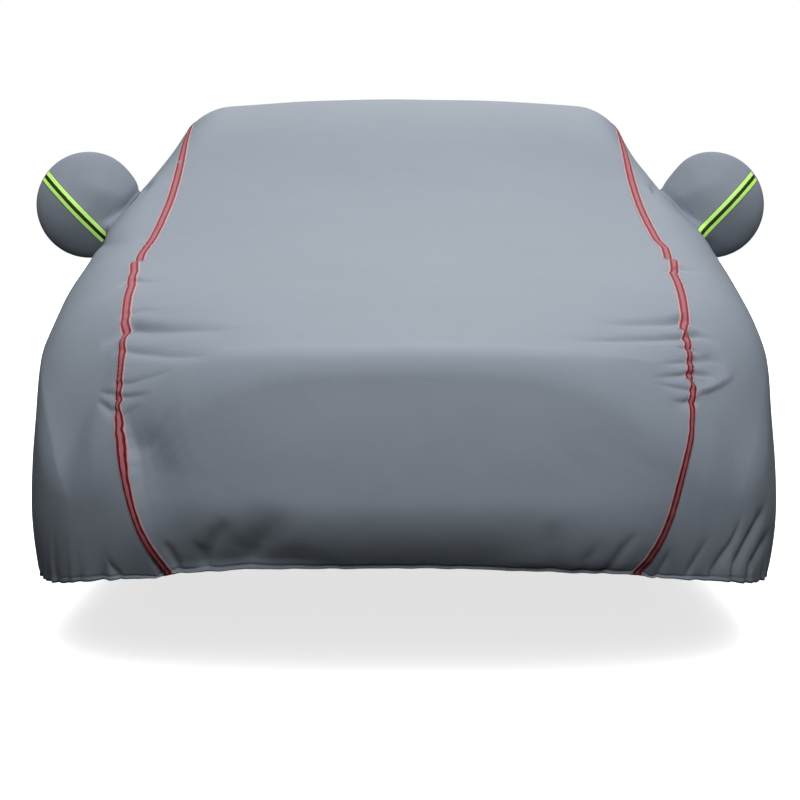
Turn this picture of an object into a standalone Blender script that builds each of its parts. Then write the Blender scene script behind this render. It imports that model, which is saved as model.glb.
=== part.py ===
"""Fitted car cover: three panels, two taped seams and a pair of mirror pockets.

The cloth hangs as it does over a saloon car.  Sizes are in metres.  The working frame has x to the
side, s backwards from the foremost point of the cloth and z up from the ground.  `to_world` turns it
into the model's frame, whose origin lies on the underside of the roof cloth at half the length.
"""
import math

import bmesh
import bpy
import numpy as np

# Overall sizes
LENGTH = 4.75
HALF_WIDTH = 0.926
ROOF_HEIGHT = 1.420
CLOTH = 0.0025
GAP = 0.0003
SEAM_GAP = 0.0004

# Lower body: how the cloth lies over wings, doors and boot
WIDEST_HEIGHT = (0.35, 0.45)
SHOULDER_HEIGHT = 0.95
UPPER_DRAW_IN = 0.20  # narrowing per square metre of height above the widest band
LOWER_DRAW_IN = 0.50  # the same below it
FRONT_CORNER_DEPTH = 0.98  # length over which the plan's corners turn
REAR_CORNER_DEPTH = 0.85
CORNER_POWER = 2.5
NOSE_MIDDLE_HEIGHT = 0.50
NOSE_LEAN = 0.50
REAR_LEAN_SHARE = 0.6
TUCK_HEIGHT = 0.35  # below this the elastic hem draws the cloth back under the nose
TUCK_SLOPE = 0.9
TUCK_ROUND = 0.08
TUCK_HALF_WIDTH = 0.75
DECK_CROWN = 0.11  # fall of the bonnet and boot per square metre across
CORNER_DROOP = 0.22  # how far the front corners of the bonnet hang below its crowned shape
DROOP_HALF_WIDTH = 0.62
DROOP_LENGTH = 0.80
DROOP_POWER = 5
LIP_ROUND = 0.05  # width of the rounding between top and hull in the middle
SHOULDER_ROUND = 0.42  # how much softer that rounding grows towards the sides
ROUND_HALF_WIDTH = 0.70
ROUND_POWER = 6

# Heights of the bonnet, the hidden waist and the boot
DECK = (
    # station, height
    (0.00, 0.735),
    (0.60, 0.880),
    (1.35, 0.985),
    (2.60, 1.040),
    (4.00, 1.075),
    (4.75, 1.030),
)

# Cabin: each foot is a station and a height, each rise a slope, each taper a start and a slope
WINDSCREEN_FOOT = (1.32, 0.985)
WINDSCREEN_RISE = 0.535
WINDSCREEN_BOW = 0.22
REAR_SCREEN_FOOT = (4.02, 1.075)
REAR_SCREEN_RISE = 0.40
ROOF_PEAK_STATION = 2.60
ROOF_ARCH = 0.105
ROOF_CROWN = 0.072
RAIL_HALF_WIDTH = 0.613
RAIL_HEIGHT = 1.390
SIDE_SPREAD = 0.705
RAIL_TAPER_FRONT = (2.25, 0.10)
RAIL_TAPER_REAR = (3.10, 0.07)
CABIN_NARROWING = (0.020, 0.048)  # share by which the cabin is drawn in at its left and right
NARROW_HEIGHTS = (0.96, 1.15, 1.44)
CABIN_ROUND = 0.12
RAIL_ROUND = 0.06
BRIDGE = 0.30  # width of the hollow that the cloth bridges between bonnet and screen

# Half-width of the seam line against the way along the middle from the front hem
SEAM_LINE = (
    # way, half width
    (0.00, 0.518),
    (0.12, 0.580),
    (0.25, 0.617),
    (0.42, 0.646),
    (0.60, 0.652),
    (1.00, 0.663),
    (1.40, 0.681),
    (1.60, 0.680),
    (1.90, 0.654),
    (2.20, 0.644),
    (2.75, 0.648),
    (3.40, 0.640),
    (4.20, 0.650),
    (4.90, 0.668),
    (5.40, 0.640),
    (5.80, 0.570),
    (6.04, 0.505),
)

# Hem heights: across the front and rear, and along each side
HEM_FRONT = (0.270, 0.244)
HEM_REAR = (0.300, 0.275)
HEM_SIDE = (
    # station, height
    (0.15, 0.244),
    (0.45, 0.185),
    (0.85, 0.163),
    (1.60, 0.168),
    (2.40, 0.170),
    (3.60, 0.178),
    (4.30, 0.200),
    (4.65, 0.275),
)

# Inner line that every point of the cloth is seen from
SPINE = (0.90, 3.95)
SPINE_HEIGHT = 0.55

# Folds of the cloth: crests stand out, hollows have a negative rise
FOLDS = (
    # name, side, way along the middle, half-width, rise, reach inward, reach outward
    ("left cowl tuck", -1, 1.54, 0.050, -0.010, 0.10, 0.22),
    ("left bonnet crease", -1, 0.84, 0.055, -0.016, 0.32, 0.12),
    ("left lip gather", -1, 0.61, 0.050, -0.010, 0.26, 0.16),
    ("left lamp hollow", -1, 0.38, 0.055, -0.016, 0.22, 0.24),
    ("right cowl tuck", 1, 1.50, 0.050, -0.010, 0.08, 0.24),
    ("right bonnet crease", 1, 0.72, 0.055, -0.014, 0.30, 0.18),
    ("right lamp hollow", 1, 0.47, 0.055, -0.014, 0.20, 0.30),
)

# Grid of the cloth
ROW_STEPS = (
    # zone, way where it ends, longest step
    ("front", 0.75, 0.085),
    ("bonnet", 1.65, 0.13),
    ("windscreen", 2.75, 0.13),
    ("roof", 5.25, 0.25),
    ("rear", math.inf, 0.10),
)
ROW_LEAST = 0.035
ROW_SLACK = 0.2
MIDDLE_COLUMNS = (0.0, 0.40, 0.70, 0.88, 1.0)
SIDE_COLUMNS = (0.0, 0.07, 0.16, 0.28, 0.42, 0.57, 0.72, 0.87, 1.0)
ROW_SAMPLES = 160
MIDDLE_SAMPLES = 900
HEM_TABLE_WIDTH = 0.80
HEM_TABLE_ROWS = 17
HEM_TABLE_TURNS = 60
FRONT_TURNS = (-0.45, 0.05)
REAR_TURNS = (3.45, 2.95)
HEM_PASSES = 6
HEM_FADE = 0.45
FOOT_TURN = math.radians(2.6)
SHARP_ANGLE = 50
CAST_LENGTH = 4.0
CAST_HALVINGS = 44
SLOPE_STEP = 0.002
TINY = 1e-6

# Seam tape
TAPE_WIDTH = 0.018
TAPE_THICKNESS = 0.001
TAPE_LIFT = 0.0004

# Mirror pockets: the middle's place, the round outline and how far each half bulges
POCKET_REACH = {-1: 0.900, 1: 0.877}  # side: distance from the middle to the pocket's middle
POCKET_STATION = 1.75
POCKET_HEIGHT = 1.080
POCKET_RADIUS = 0.151
POCKET_FRONT_DEPTH = 0.085
POCKET_BACK_DEPTH = 0.070
POCKET_BULGE = 0.75
POCKET_RINGS = 5
POCKET_SIDES = 20
POCKET_ALLOWANCE = 0.008
POCKET_EASE = 0.0006
POCKET_BLOCK_STATIONS = (1.48, 2.05)
POCKET_BLOCK_ACROSS = (0.02, 0.62)
POCKET_BLOCK_INNER = 0.45
POCKET_BLOCK_ROWS = 7
POCKET_BLOCK_COLUMNS = 9

# Reflective strips: across the pocket's front, from the outer top to the inner foot
STRIP_WIDTH = 0.033
STRIP_THICKNESS = 0.001
STRIP_LIFT = 0.0010
STRIP_TURN = math.radians(46)
STRIP_OFFSET = 0.030
STRIP_RIM_SHARE = 0.965
STRIP_INNER_END = {-1: -0.105, 1: -0.094}  # side: where the strip meets the panel, from the pocket's middle
STRIP_ROWS = 15
STRIP_CROWDING = 1.7

# Finishes
CLOTH_COLOUR = (0.275, 0.305, 0.345)
CLOTH_ROUGHNESS = 0.55
TAPE_COLOUR = (0.48, 0.07, 0.08)
TAPE_ROUGHNESS = 0.7
STRIP_COLOUR = (0.48, 0.86, 0.14)
STRIP_ROUGHNESS = 0.4
SIDE_NAMES = {-1: "_left", 1: "_right"}


def smooth_curve(rows):
    """Returns a smooth function through the rows' (place, value) pairs."""
    places = np.array([row[0] for row in rows], float)
    values = np.array([row[1] for row in rows], float)
    slopes = np.gradient(values, places)

    def curve(place):
        place = np.clip(np.asarray(place, float), places[0], places[-1])
        i = np.clip(np.searchsorted(places, place, side="right") - 1, 0, len(places) - 2)
        span = places[i + 1] - places[i]
        t = (place - places[i]) / span
        start = values[i] * (1 + 2 * t) * (1 - t) ** 2 + slopes[i] * span * t * (1 - t) ** 2
        finish = values[i + 1] * t * t * (3 - 2 * t) - slopes[i + 1] * span * t * t * (1 - t)
        return start + finish

    return curve


deck_height = smooth_curve(DECK)
seam_half_width = smooth_curve(SEAM_LINE)
hem_side_height = smooth_curve(HEM_SIDE)


def soft_max(a, b, width):
    """The larger of two values, rounded off where they are within width of each other."""
    h = np.maximum(width - np.abs(a - b), 0.0) / width
    return np.maximum(a, b) + h * h * width / 4


def soft_min(a, b, width):
    """The smaller of two values, rounded off in the same way."""
    return -soft_max(-a, -b, width)


def over(value):
    """The value where it is above zero, and zero elsewhere."""
    return np.maximum(value, 0.0)


def smooth_step(low, high, value):
    """Zero below low, one above high and a smooth rise between."""
    t = np.clip((value - low) / (high - low), 0, 1)
    return t * t * (3 - 2 * t)


def unit(vector):
    """Vectors brought to length one."""
    return vector / np.linalg.norm(vector, axis=-1, keepdims=True)


def hull(x, s, z):
    """Negative inside the upright hull that bumpers, wings and doors give the cloth."""
    low, high = WIDEST_HEIGHT
    rise = over(np.minimum(z, SHOULDER_HEIGHT) - high)
    half = HALF_WIDTH - UPPER_DRAW_IN * rise ** 2 - LOWER_DRAW_IN * over(low - z) ** 2
    tuck = TUCK_SLOPE * soft_max(TUCK_HEIGHT - z, 0.0 * z, TUCK_ROUND)
    tuck = tuck * over(1 - (x / TUCK_HALF_WIDTH) ** 2)
    lean = NOSE_LEAN * (z - NOSE_MIDDLE_HEIGHT) ** 2 + tuck
    front = over(FRONT_CORNER_DEPTH - (s - lean)) / FRONT_CORNER_DEPTH
    rear = over(s + lean * REAR_LEAN_SHARE - (LENGTH - REAR_CORNER_DEPTH)) / REAR_CORNER_DEPTH
    side = np.abs(x) / half
    plan = (side ** CORNER_POWER + front ** CORNER_POWER + rear ** CORNER_POWER) ** (1 / CORNER_POWER)
    return (plan - 1) * half


def cabin(x, s, z):
    """Negative below screens, roof and side windows."""
    foot_s, foot_z = WINDSCREEN_FOOT
    tilt = math.hypot(1.0, WINDSCREEN_RISE)
    screen = (z - foot_z - WINDSCREEN_RISE * (s - foot_s - WINDSCREEN_BOW * x * x)) / tilt
    foot_s, foot_z = REAR_SCREEN_FOOT
    tilt = math.hypot(1.0, REAR_SCREEN_RISE)
    rear = (z - foot_z - REAR_SCREEN_RISE * (foot_s - WINDSCREEN_BOW * x * x - s)) / tilt
    roof = z - ROOF_HEIGHT + ROOF_ARCH * (s - ROOF_PEAK_STATION) ** 2 + ROOF_CROWN * x * x
    front_taper = RAIL_TAPER_FRONT[1] * over(RAIL_TAPER_FRONT[0] - s)
    rear_taper = RAIL_TAPER_REAR[1] * over(s - RAIL_TAPER_REAR[0])
    side = np.abs(x) - RAIL_HALF_WIDTH + front_taper + rear_taper - SIDE_SPREAD * (RAIL_HEIGHT - z)
    side = side / math.hypot(1.0, SIDE_SPREAD)
    return soft_max(soft_max(soft_max(screen, rear, CABIN_ROUND), roof, CABIN_ROUND), side, RAIL_ROUND)


def narrowing(x, z):
    """Share by which the cabin's sides stand nearer to the middle: the cover is tighter on the right."""
    left, right = CABIN_NARROWING
    low, full, high = NARROW_HEIGHTS
    return np.where(x > 0, right, left) * smooth_step(low, full, z) * (1 - smooth_step(full, high, z))


def cover_field(points):
    """Negative inside the cloth's outer face, positive outside."""
    x, s, z = points[..., 0], points[..., 1], points[..., 2]
    x = x * (1 + narrowing(x, z))
    droop = CORNER_DROOP * (np.abs(x) / DROOP_HALF_WIDTH) ** DROOP_POWER * over(1 - s / DROOP_LENGTH) ** 2
    deck = z - deck_height(s) + DECK_CROWN * x * x + droop
    top = soft_min(deck, cabin(x, s, z), BRIDGE)
    reach = np.abs(x) / (1 + (x / ROUND_HALF_WIDTH) ** ROUND_POWER) ** (1 / ROUND_POWER)
    return soft_max(hull(x, s, z), top, LIP_ROUND + SHOULDER_ROUND * reach ** 3)


def outward(points):
    """Unit normals of the outer face."""
    steps = np.eye(3) * SLOPE_STEP
    return unit(np.stack([cover_field(points + d) - cover_field(points - d) for d in steps], axis=-1))


def cast(base, way):
    """Where rays from base, inside the cover, meet the outer face."""
    near = np.zeros(base.shape[:-1])
    far = np.full(base.shape[:-1], CAST_LENGTH)
    for _ in range(CAST_HALVINGS):
        middle = (near + far) / 2
        outside = cover_field(base + way * middle[..., None]) > 0
        far = np.where(outside, middle, far)
        near = np.where(outside, near, middle)
    return base + way * near[..., None]


def ray(q, x):
    """Base and direction of a ray: q turns up from the front, runs along the spine, turns down behind."""
    turn = np.minimum(q, 1) + over(q - 2)
    angle = turn * math.pi / 2
    station = SPINE[0] + np.clip(q - 1, 0, 1) * (SPINE[1] - SPINE[0])
    base = np.stack([x, station, np.full_like(x, SPINE_HEIGHT)], axis=-1)
    way = np.stack([np.zeros_like(x), -np.cos(angle), np.sin(angle)], axis=-1)
    return base, way


def section_points(q, x):
    """Points of the outer face at turn q and distance x from the middle."""
    q, x = np.broadcast_arrays(np.asarray(q, float), np.asarray(x, float))
    return cast(*ray(q, x))


def hem_turns(heights, start, stop):
    """Table of the turn q at which the cloth, x from the middle, comes down to the hem's height."""
    widths = np.linspace(0, HEM_TABLE_WIDTH, HEM_TABLE_ROWS)
    turns = np.linspace(start, stop, HEM_TABLE_TURNS)
    middle, at_seam = heights
    found = []
    for x in widths:
        target = middle + (at_seam - middle) * (x / seam_half_width(0.0)) ** 2
        z = section_points(turns, np.full_like(turns, x))[:, 2]
        found.append(np.interp(target, z, turns))
    return widths, np.array(found)


class Middle:
    """The way along the middle of the cover, from the front hem to the rear hem."""

    def __init__(self):
        self.front = hem_turns(HEM_FRONT, *FRONT_TURNS)
        self.rear = hem_turns(HEM_REAR, *REAR_TURNS)
        turns = np.linspace(self.front[1][0], self.rear[1][0], MIDDLE_SAMPLES)
        line = section_points(turns, np.zeros_like(turns))
        steps = np.linalg.norm(np.diff(line, axis=0), axis=1)
        self.turns = turns
        self.ways = np.concatenate([[0.0], np.cumsum(steps)])
        self.length = float(self.ways[-1])

    def turn(self, way, x):
        """The turn q for a way along the middle, bent near the hems to follow them."""
        q = np.interp(way, self.ways, self.turns)
        x = np.abs(x)
        front = np.interp(x, *self.front) - self.front[1][0]
        rear = np.interp(x, *self.rear) - self.rear[1][0]
        q = q + front * over(1 - way / HEM_FADE) ** 2
        return q + rear * over(1 - (self.length - way) / HEM_FADE) ** 2

    def point(self, way, x):
        """The outer face's point at a way along the middle and x from it."""
        way, x = np.broadcast_arrays(np.asarray(way, float), np.asarray(x, float))
        return section_points(self.turn(way, x), x)


def fold_depth(way, across, side):
    """Height of the folds above the plain cloth; across is outward from the seam, side is -1 or 1."""
    height = np.zeros(np.broadcast(way, across).shape)
    for _, fold_side, place, width, rise, inward, outward_reach in FOLDS:
        if fold_side != side:
            continue
        reach = np.where(across < 0, -across / inward, across / outward_reach)
        fade = over(1 - reach ** 2) ** 1.5
        height = height + rise * fade * np.exp(-((way - place) / width) ** 2)
    return height


def between(start, finish, share):
    """Directions turned evenly from one unit vector to another."""
    angle = math.acos(float(np.clip(np.dot(start, finish), -1, 1)))
    share = np.asarray(share)[:, None]
    if angle < TINY:
        return start + (finish - start) * share
    return (np.sin((1 - share) * angle) * start + np.sin(share * angle) * finish) / math.sin(angle)


def hem_point(station, azimuth, side):
    """The side hem in the direction azimuth (0 forward, a quarter turn sideways, half a turn back)."""
    way = np.array([side * math.sin(azimuth), -math.cos(azimuth), 0.0])
    height = float(hem_side_height(station))
    for _ in range(HEM_PASSES):
        point = cast(np.array([0.0, station, height]), way)
        height = float(hem_side_height(point[1]))
    return point


def spread(points, along, distances):
    """Points at distances along a line whose own points lie at the distances in along."""
    return np.stack([np.interp(distances, along, points[:, k]) for k in range(3)], axis=-1)


class Side:
    """Rows of a side panel, each from the seam down to the hem."""

    def __init__(self, middle, side):
        self.middle = middle
        self.side = side
        self.front_way = float(np.interp(1.0, middle.turns, middle.ways))
        self.rear_way = float(np.interp(2.0, middle.turns, middle.ways))

    def seam(self, way):
        """The seam's point beside a way along the middle."""
        return self.middle.point(way, self.side * seam_half_width(way))

    def row(self, way):
        """Dense points of one row and the distance of each from the seam."""
        seam = self.seam(way)
        q = float(np.interp(way, self.middle.ways, self.middle.turns))
        station = SPINE[0] + min(max(q - 1, 0), 1) * (SPINE[1] - SPINE[0])
        base = np.array([0.0, station, SPINE_HEIGHT])
        azimuth = math.pi / 2
        if way < self.front_way:
            foot = self.seam(0.0)
            first = math.atan2(abs(foot[0]), station - foot[1]) + FOOT_TURN
            azimuth = first + (azimuth - first) * way / self.front_way
        elif way > self.rear_way:
            foot = self.seam(self.middle.length)
            last = math.pi - math.atan2(abs(foot[0]), foot[1] - station) - FOOT_TURN
            share = (way - self.rear_way) / (self.middle.length - self.rear_way)
            azimuth = azimuth + (last - azimuth) * share
        hem = hem_point(station, azimuth, self.side)
        ways = between(unit(seam - base), unit(hem - base), np.linspace(0, 1, ROW_SAMPLES))
        points = cast(np.broadcast_to(base, ways.shape), ways)
        steps = np.linalg.norm(np.diff(points, axis=0), axis=1)
        return points, np.concatenate([[0.0], np.cumsum(steps)])

    def place(self, way, distances):
        """Points of one row at distances from the seam."""
        points, along = self.row(way)
        return spread(points, along, distances)


def row_ways(middle):
    """Ways of the rows: one at each fold's crest and flanks, and even steps between."""
    marks = {0.0, middle.length}
    for _, end, _ in ROW_STEPS[:-1]:
        marks.add(end)
    for _, _, place, width, _, _, _ in FOLDS:
        marks.update((place - width, place, place + width))
    kept = []
    for mark in sorted(marks):
        if not kept or mark - kept[-1] > ROW_LEAST:
            kept.append(mark)
    ways = [kept[0]]
    for start, finish in zip(kept, kept[1:]):
        step = next(longest for _, end, longest in ROW_STEPS if start < end - TINY)
        count = max(1, math.ceil((finish - start) / step - ROW_SLACK))
        ways.extend(start + (finish - start) * (k + 1) / count for k in range(count))
    return np.array(ways)


ROOF_UNDERSIDE = float(cast(np.array([0.0, LENGTH / 2, SPINE_HEIGHT]), np.array([0.0, 0.0, 1.0]))[2]) - CLOTH


def to_world(points):
    """From the working frame to the model's frame."""
    return points - np.array([0.0, LENGTH / 2, ROOF_UNDERSIDE])


def closed_grid(name, top, bottom, turned=0):
    """A closed body between two grids of points that share their rows and columns.

    Each cell is split along the diagonal that runs away from the middle of the cover, so that sheets
    which share a strip lie facet on facet.  The first `turned` columns run towards the middle instead.
    """
    rows, columns = top.shape[:2]
    points = to_world(np.concatenate([top.reshape(-1, 3), bottom.reshape(-1, 3)]))
    below = rows * columns
    faces = []
    for i in range(rows - 1):
        for j in range(columns - 1):
            a = i * columns + j
            b = a + columns
            halves = ((a, a + 1, b + 1), (a, b + 1, b))
            if j < turned:
                halves = ((a, a + 1, b), (a + 1, b + 1, b))
            for half in halves:
                faces.append(half)
                faces.append(tuple(k + below for k in reversed(half)))
    first_row = list(range(columns))
    last_column = [i * columns + columns - 1 for i in range(1, rows)]
    last_row = [(rows - 1) * columns + j for j in range(columns - 2, -1, -1)]
    first_column = [i * columns for i in range(rows - 2, 0, -1)]
    rim = first_row + last_column + last_row + first_column
    for pair in zip(rim, rim[1:] + rim[:1]):
        a, b = sorted(pair)
        faces.append((a, b, b + below))
        faces.append((a, b + below, a + below))
    return make_object(name, points, faces)


def make_object(name, points, faces):
    """An object of its own from points and faces, with the faces turned outwards."""
    mesh = bpy.data.meshes.new(name)
    mesh.from_pydata([tuple(p) for p in points], [], faces)
    shape = bmesh.new()
    shape.from_mesh(mesh)
    bmesh.ops.recalc_face_normals(shape, faces=shape.faces)
    shape.to_mesh(mesh)
    shape.free()
    mesh.shade_smooth()
    mesh.set_sharp_from_angle(angle=math.radians(SHARP_ANGLE))
    item = bpy.data.objects.new(name, mesh)
    bpy.context.collection.objects.link(item)
    return item


def finish(item, material):
    """Gives the object its material."""
    item.data.materials.append(material)
    return item


def make_material(name, colour, roughness):
    """A plain cloth finish."""
    material = bpy.data.materials.new(name)
    material.use_nodes = True
    shader = material.node_tree.nodes["Principled BSDF"]
    shader.inputs["Base Color"].default_value = (*colour, 1.0)
    shader.inputs["Roughness"].default_value = roughness
    shader.inputs["Metallic"].default_value = 0.0
    material.diffuse_color = (*colour, 1.0)
    return material


def middle_grid(middle, ways):
    """Outer points and normals of the middle panel, row by row from one seam to the other."""
    rows = []
    for way in ways:
        half = float(seam_half_width(way))
        seam, inside = middle.point(way, np.array([half, half - TAPE_WIDTH / 2]))
        shrink = TAPE_WIDTH / 2 / np.linalg.norm(seam - inside)
        edge = half - SEAM_GAP / 2 * shrink
        tape = half - TAPE_WIDTH / 2 * shrink
        half_row = np.concatenate([tape * np.array(MIDDLE_COLUMNS), [edge]])
        x = np.concatenate([-half_row[:0:-1], half_row])
        plain = middle.point(way, x)
        normals = outward(plain)
        across = np.abs(x) - half
        height = np.where(x < 0, fold_depth(way, across, -1), fold_depth(way, across, 1))
        rows.append((plain + normals * height[:, None], normals))
    return np.stack([r[0] for r in rows]), np.stack([r[1] for r in rows])


def side_grid(middle, ways, side):
    """Outer points and normals of a side panel, row by row from the seam to the hem."""
    panel = Side(middle, side)
    rows = []
    for way in ways:
        points, along = panel.row(way)
        rest = TAPE_WIDTH / 2 + (along[-1] - TAPE_WIDTH / 2) * np.array(SIDE_COLUMNS)
        distances = np.concatenate([[SEAM_GAP / 2], rest])
        plain = spread(points, along, distances)
        normals = outward(plain)
        height = fold_depth(way, distances, side)
        rows.append((plain + normals * height[:, None], normals))
    return np.stack([r[0] for r in rows]), np.stack([r[1] for r in rows])


def panel(name, grid, material, turned=0):
    """A panel of cloth below its outer points."""
    outer, normals = grid
    return finish(closed_grid(name, outer, outer - normals * CLOTH, turned), material)


def seam_tape(name, middle_panel, side_panel, side, material):
    """Tape over a seam: it follows the last strip of the middle panel and the first of the side panel."""
    edge = -1 if side > 0 else 0
    inner = -2 if side > 0 else 1
    points = np.stack([
        middle_panel[0][:, inner],
        (middle_panel[0][:, edge] + side_panel[0][:, 0]) / 2,
        side_panel[0][:, 1],
    ], axis=1)
    normals = np.stack([
        middle_panel[1][:, inner],
        unit(middle_panel[1][:, edge] + side_panel[1][:, 0]),
        side_panel[1][:, 1],
    ], axis=1)
    low = points + normals * TAPE_LIFT
    high = points + normals * (TAPE_LIFT + TAPE_THICKNESS)
    return finish(closed_grid(name, high, low), material)


def pocket_depth(rho, depth):
    """Bulge of a pocket half at the share rho of its radius."""
    return depth * over(1 - rho * rho) ** POCKET_BULGE


def pocket_half(name, side, facing, grow=0.0, solid=False):
    """One half of a mirror pocket: facing is -1 for the front piece and 1 for the back one."""
    depth = POCKET_FRONT_DEPTH if facing < 0 else POCKET_BACK_DEPTH
    flat = 0.0 if solid else GAP / 2
    skins = [(POCKET_RADIUS + grow, depth + grow)]
    if not solid:
        skins.append((POCKET_RADIUS - CLOTH, depth - CLOTH))
    centre = np.array([side * POCKET_REACH[side], POCKET_STATION, POCKET_HEIGHT])
    points = []
    faces = []
    for radius, bulge in skins:
        first = len(points)
        points.append(centre + np.array([0.0, facing * (flat + bulge), 0.0]))
        for k in range(1, POCKET_RINGS + 1):
            rho = math.sin(k / POCKET_RINGS * math.pi / 2)
            out = facing * (flat + float(pocket_depth(np.float64(rho), bulge)))
            for m in range(POCKET_SIDES):
                turn = 2 * math.pi * m / POCKET_SIDES
                around = np.array([radius * rho * math.cos(turn), out, radius * rho * math.sin(turn)])
                points.append(centre + around)
        for m in range(POCKET_SIDES):
            n = (m + 1) % POCKET_SIDES
            faces.append((first, first + 1 + m, first + 1 + n))
            for k in range(POCKET_RINGS - 1):
                ring = first + 1 + k * POCKET_SIDES
                faces.append((ring + m, ring + POCKET_SIDES + m, ring + POCKET_SIDES + n, ring + n))
    per_skin = 1 + POCKET_RINGS * POCKET_SIDES
    rim = 1 + (POCKET_RINGS - 1) * POCKET_SIDES
    if solid:
        faces.append(tuple(rim + m for m in range(POCKET_SIDES)))
    else:
        for m in range(POCKET_SIDES):
            n = (m + 1) % POCKET_SIDES
            faces.append((rim + m, rim + n, per_skin + rim + n, per_skin + rim + m))
    return make_object(name, to_world(np.array(points)), faces)


def as_guide(item):
    """Marks a cutter or guide, which isn't a piece of the cover."""
    item.hide_render = True
    item.display_type = "WIRE"
    return item


def cut(item, cutter):
    """Takes the cutter's space out of the object."""
    step = item.modifiers.new(cutter.name, "BOOLEAN")
    step.operation = "DIFFERENCE"
    step.solver = "EXACT"
    step.object = cutter
    return item


def inner_block(middle, side):
    """Guide: the space inside the cover near a pocket, which the pocket's cut edge reaches into."""
    panel_rows = Side(middle, side)
    line = section_points(middle.turns, np.zeros_like(middle.turns))
    stations = np.linspace(*POCKET_BLOCK_STATIONS, POCKET_BLOCK_ROWS)
    ways = np.interp(stations, line[:, 1], middle.ways)
    across = np.linspace(*POCKET_BLOCK_ACROSS, POCKET_BLOCK_COLUMNS)
    outer = np.stack([panel_rows.place(float(way), across) for way in ways])
    near = outer - outward(outer) * (CLOTH + POCKET_ALLOWANCE)
    far = near.copy()
    far[..., 0] = side * POCKET_BLOCK_INNER
    return as_guide(closed_grid("guide_inner_block" + SIDE_NAMES[side], near, far))


def pocket_point(side, u, v, lift):
    """Point above the pocket's front piece: u outward and v upward from its middle."""
    rho = np.hypot(u, v) / POCKET_RADIUS
    out = GAP / 2 + pocket_depth(rho, POCKET_FRONT_DEPTH)
    fall = POCKET_FRONT_DEPTH * POCKET_BULGE * 2 * rho * over(1 - rho * rho) ** (POCKET_BULGE - 1)
    slope = fall / POCKET_RADIUS / np.maximum(rho, TINY) / POCKET_RADIUS
    normal = unit(np.stack([side * u * slope, -np.ones_like(u), v * slope], axis=-1))
    x = side * (POCKET_REACH[side] + u)
    point = np.stack([x, POCKET_STATION - out, POCKET_HEIGHT + v], axis=-1)
    return point + normal * lift


def reflective_strip(name, side, material):
    """Strip across the pocket's front, from its rim down to where the pocket leaves the panel."""
    along_u, along_v = math.cos(STRIP_TURN), math.sin(STRIP_TURN)
    offset = STRIP_OFFSET + np.array([-0.5, 0.0, 0.5]) * STRIP_WIDTH
    rows = []
    for share in np.linspace(0, 1, STRIP_ROWS) ** STRIP_CROWDING:
        start = np.sqrt((STRIP_RIM_SHARE * POCKET_RADIUS) ** 2 - offset ** 2)
        along = start + (STRIP_INNER_END[side] - start) * share
        rows.append((along * along_u + offset * along_v, along * along_v - offset * along_u))
    u = np.stack([r[0] for r in rows])
    v = np.stack([r[1] for r in rows])
    low = pocket_point(side, u, v, STRIP_LIFT)
    high = pocket_point(side, u, v, STRIP_LIFT + STRIP_THICKNESS)
    return finish(closed_grid(name, high, low), material)


def build():
    """Clears the scene and makes every piece of the cover."""
    for item in list(bpy.context.scene.objects):
        bpy.data.objects.remove(item, do_unlink=True)
    cloth = make_material("cover_cloth", CLOTH_COLOUR, CLOTH_ROUGHNESS)
    tape = make_material("seam_tape", TAPE_COLOUR, TAPE_ROUGHNESS)
    strip = make_material("reflective_strip", STRIP_COLOUR, STRIP_ROUGHNESS)
    middle = Middle()
    ways = row_ways(middle)
    centre = middle_grid(middle, ways)
    panel("centre_panel", centre, cloth, len(MIDDLE_COLUMNS))
    for side, suffix in SIDE_NAMES.items():
        outer = side_grid(middle, ways, side)
        side_panel = panel("side_panel" + suffix, outer, cloth)
        seam_tape("seam_tape" + suffix, centre, outer, side, tape)
        block = inner_block(middle, side)
        for facing, half in ((-1, "front"), (1, "back")):
            cut(side_panel, as_guide(pocket_half("guide_" + half + suffix, side, facing, POCKET_EASE, True)))
            pocket = pocket_half("mirror_pocket_" + half + suffix, side, facing)
            finish(cut(pocket, block), cloth)
        reflective_strip("reflective_strip" + suffix, side, strip)


build()
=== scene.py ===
"""Looks of a fitted car cover: cloth panels, taped seams, mirror pockets and reflective strips.

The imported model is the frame.  The cloth is laid on the same shape as the solids, with finer folds.
The working frame has x to the side, s backwards from the foremost point of the cloth and z up from the
ground; `to_world` turns it into the model's frame.  Sizes are in metres.
"""
import math

import bpy
import numpy as np
from bpy.props import FloatProperty, FloatVectorProperty, PointerProperty
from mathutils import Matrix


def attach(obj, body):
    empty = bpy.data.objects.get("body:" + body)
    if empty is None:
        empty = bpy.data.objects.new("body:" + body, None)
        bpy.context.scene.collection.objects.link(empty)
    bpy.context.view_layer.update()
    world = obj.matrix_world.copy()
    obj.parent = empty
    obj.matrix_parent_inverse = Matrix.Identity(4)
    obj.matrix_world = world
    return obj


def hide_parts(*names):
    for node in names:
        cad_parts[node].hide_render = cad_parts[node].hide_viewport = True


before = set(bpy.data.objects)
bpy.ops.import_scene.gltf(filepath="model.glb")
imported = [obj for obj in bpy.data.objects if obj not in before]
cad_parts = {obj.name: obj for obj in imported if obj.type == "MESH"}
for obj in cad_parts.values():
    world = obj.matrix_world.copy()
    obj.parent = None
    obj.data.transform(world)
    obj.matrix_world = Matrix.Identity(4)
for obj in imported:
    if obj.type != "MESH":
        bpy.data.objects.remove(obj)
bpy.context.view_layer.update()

bl_info = {
    "name": "Fitted Car Cover",
    "version": (1, 0, 0),
    "blender": (4, 5, 0),
    "location": "View3D > Sidebar > Car Cover",
    "description": "Cloth, seams, pockets and stage of a fitted car cover",
    "category": "Object",
}

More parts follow.
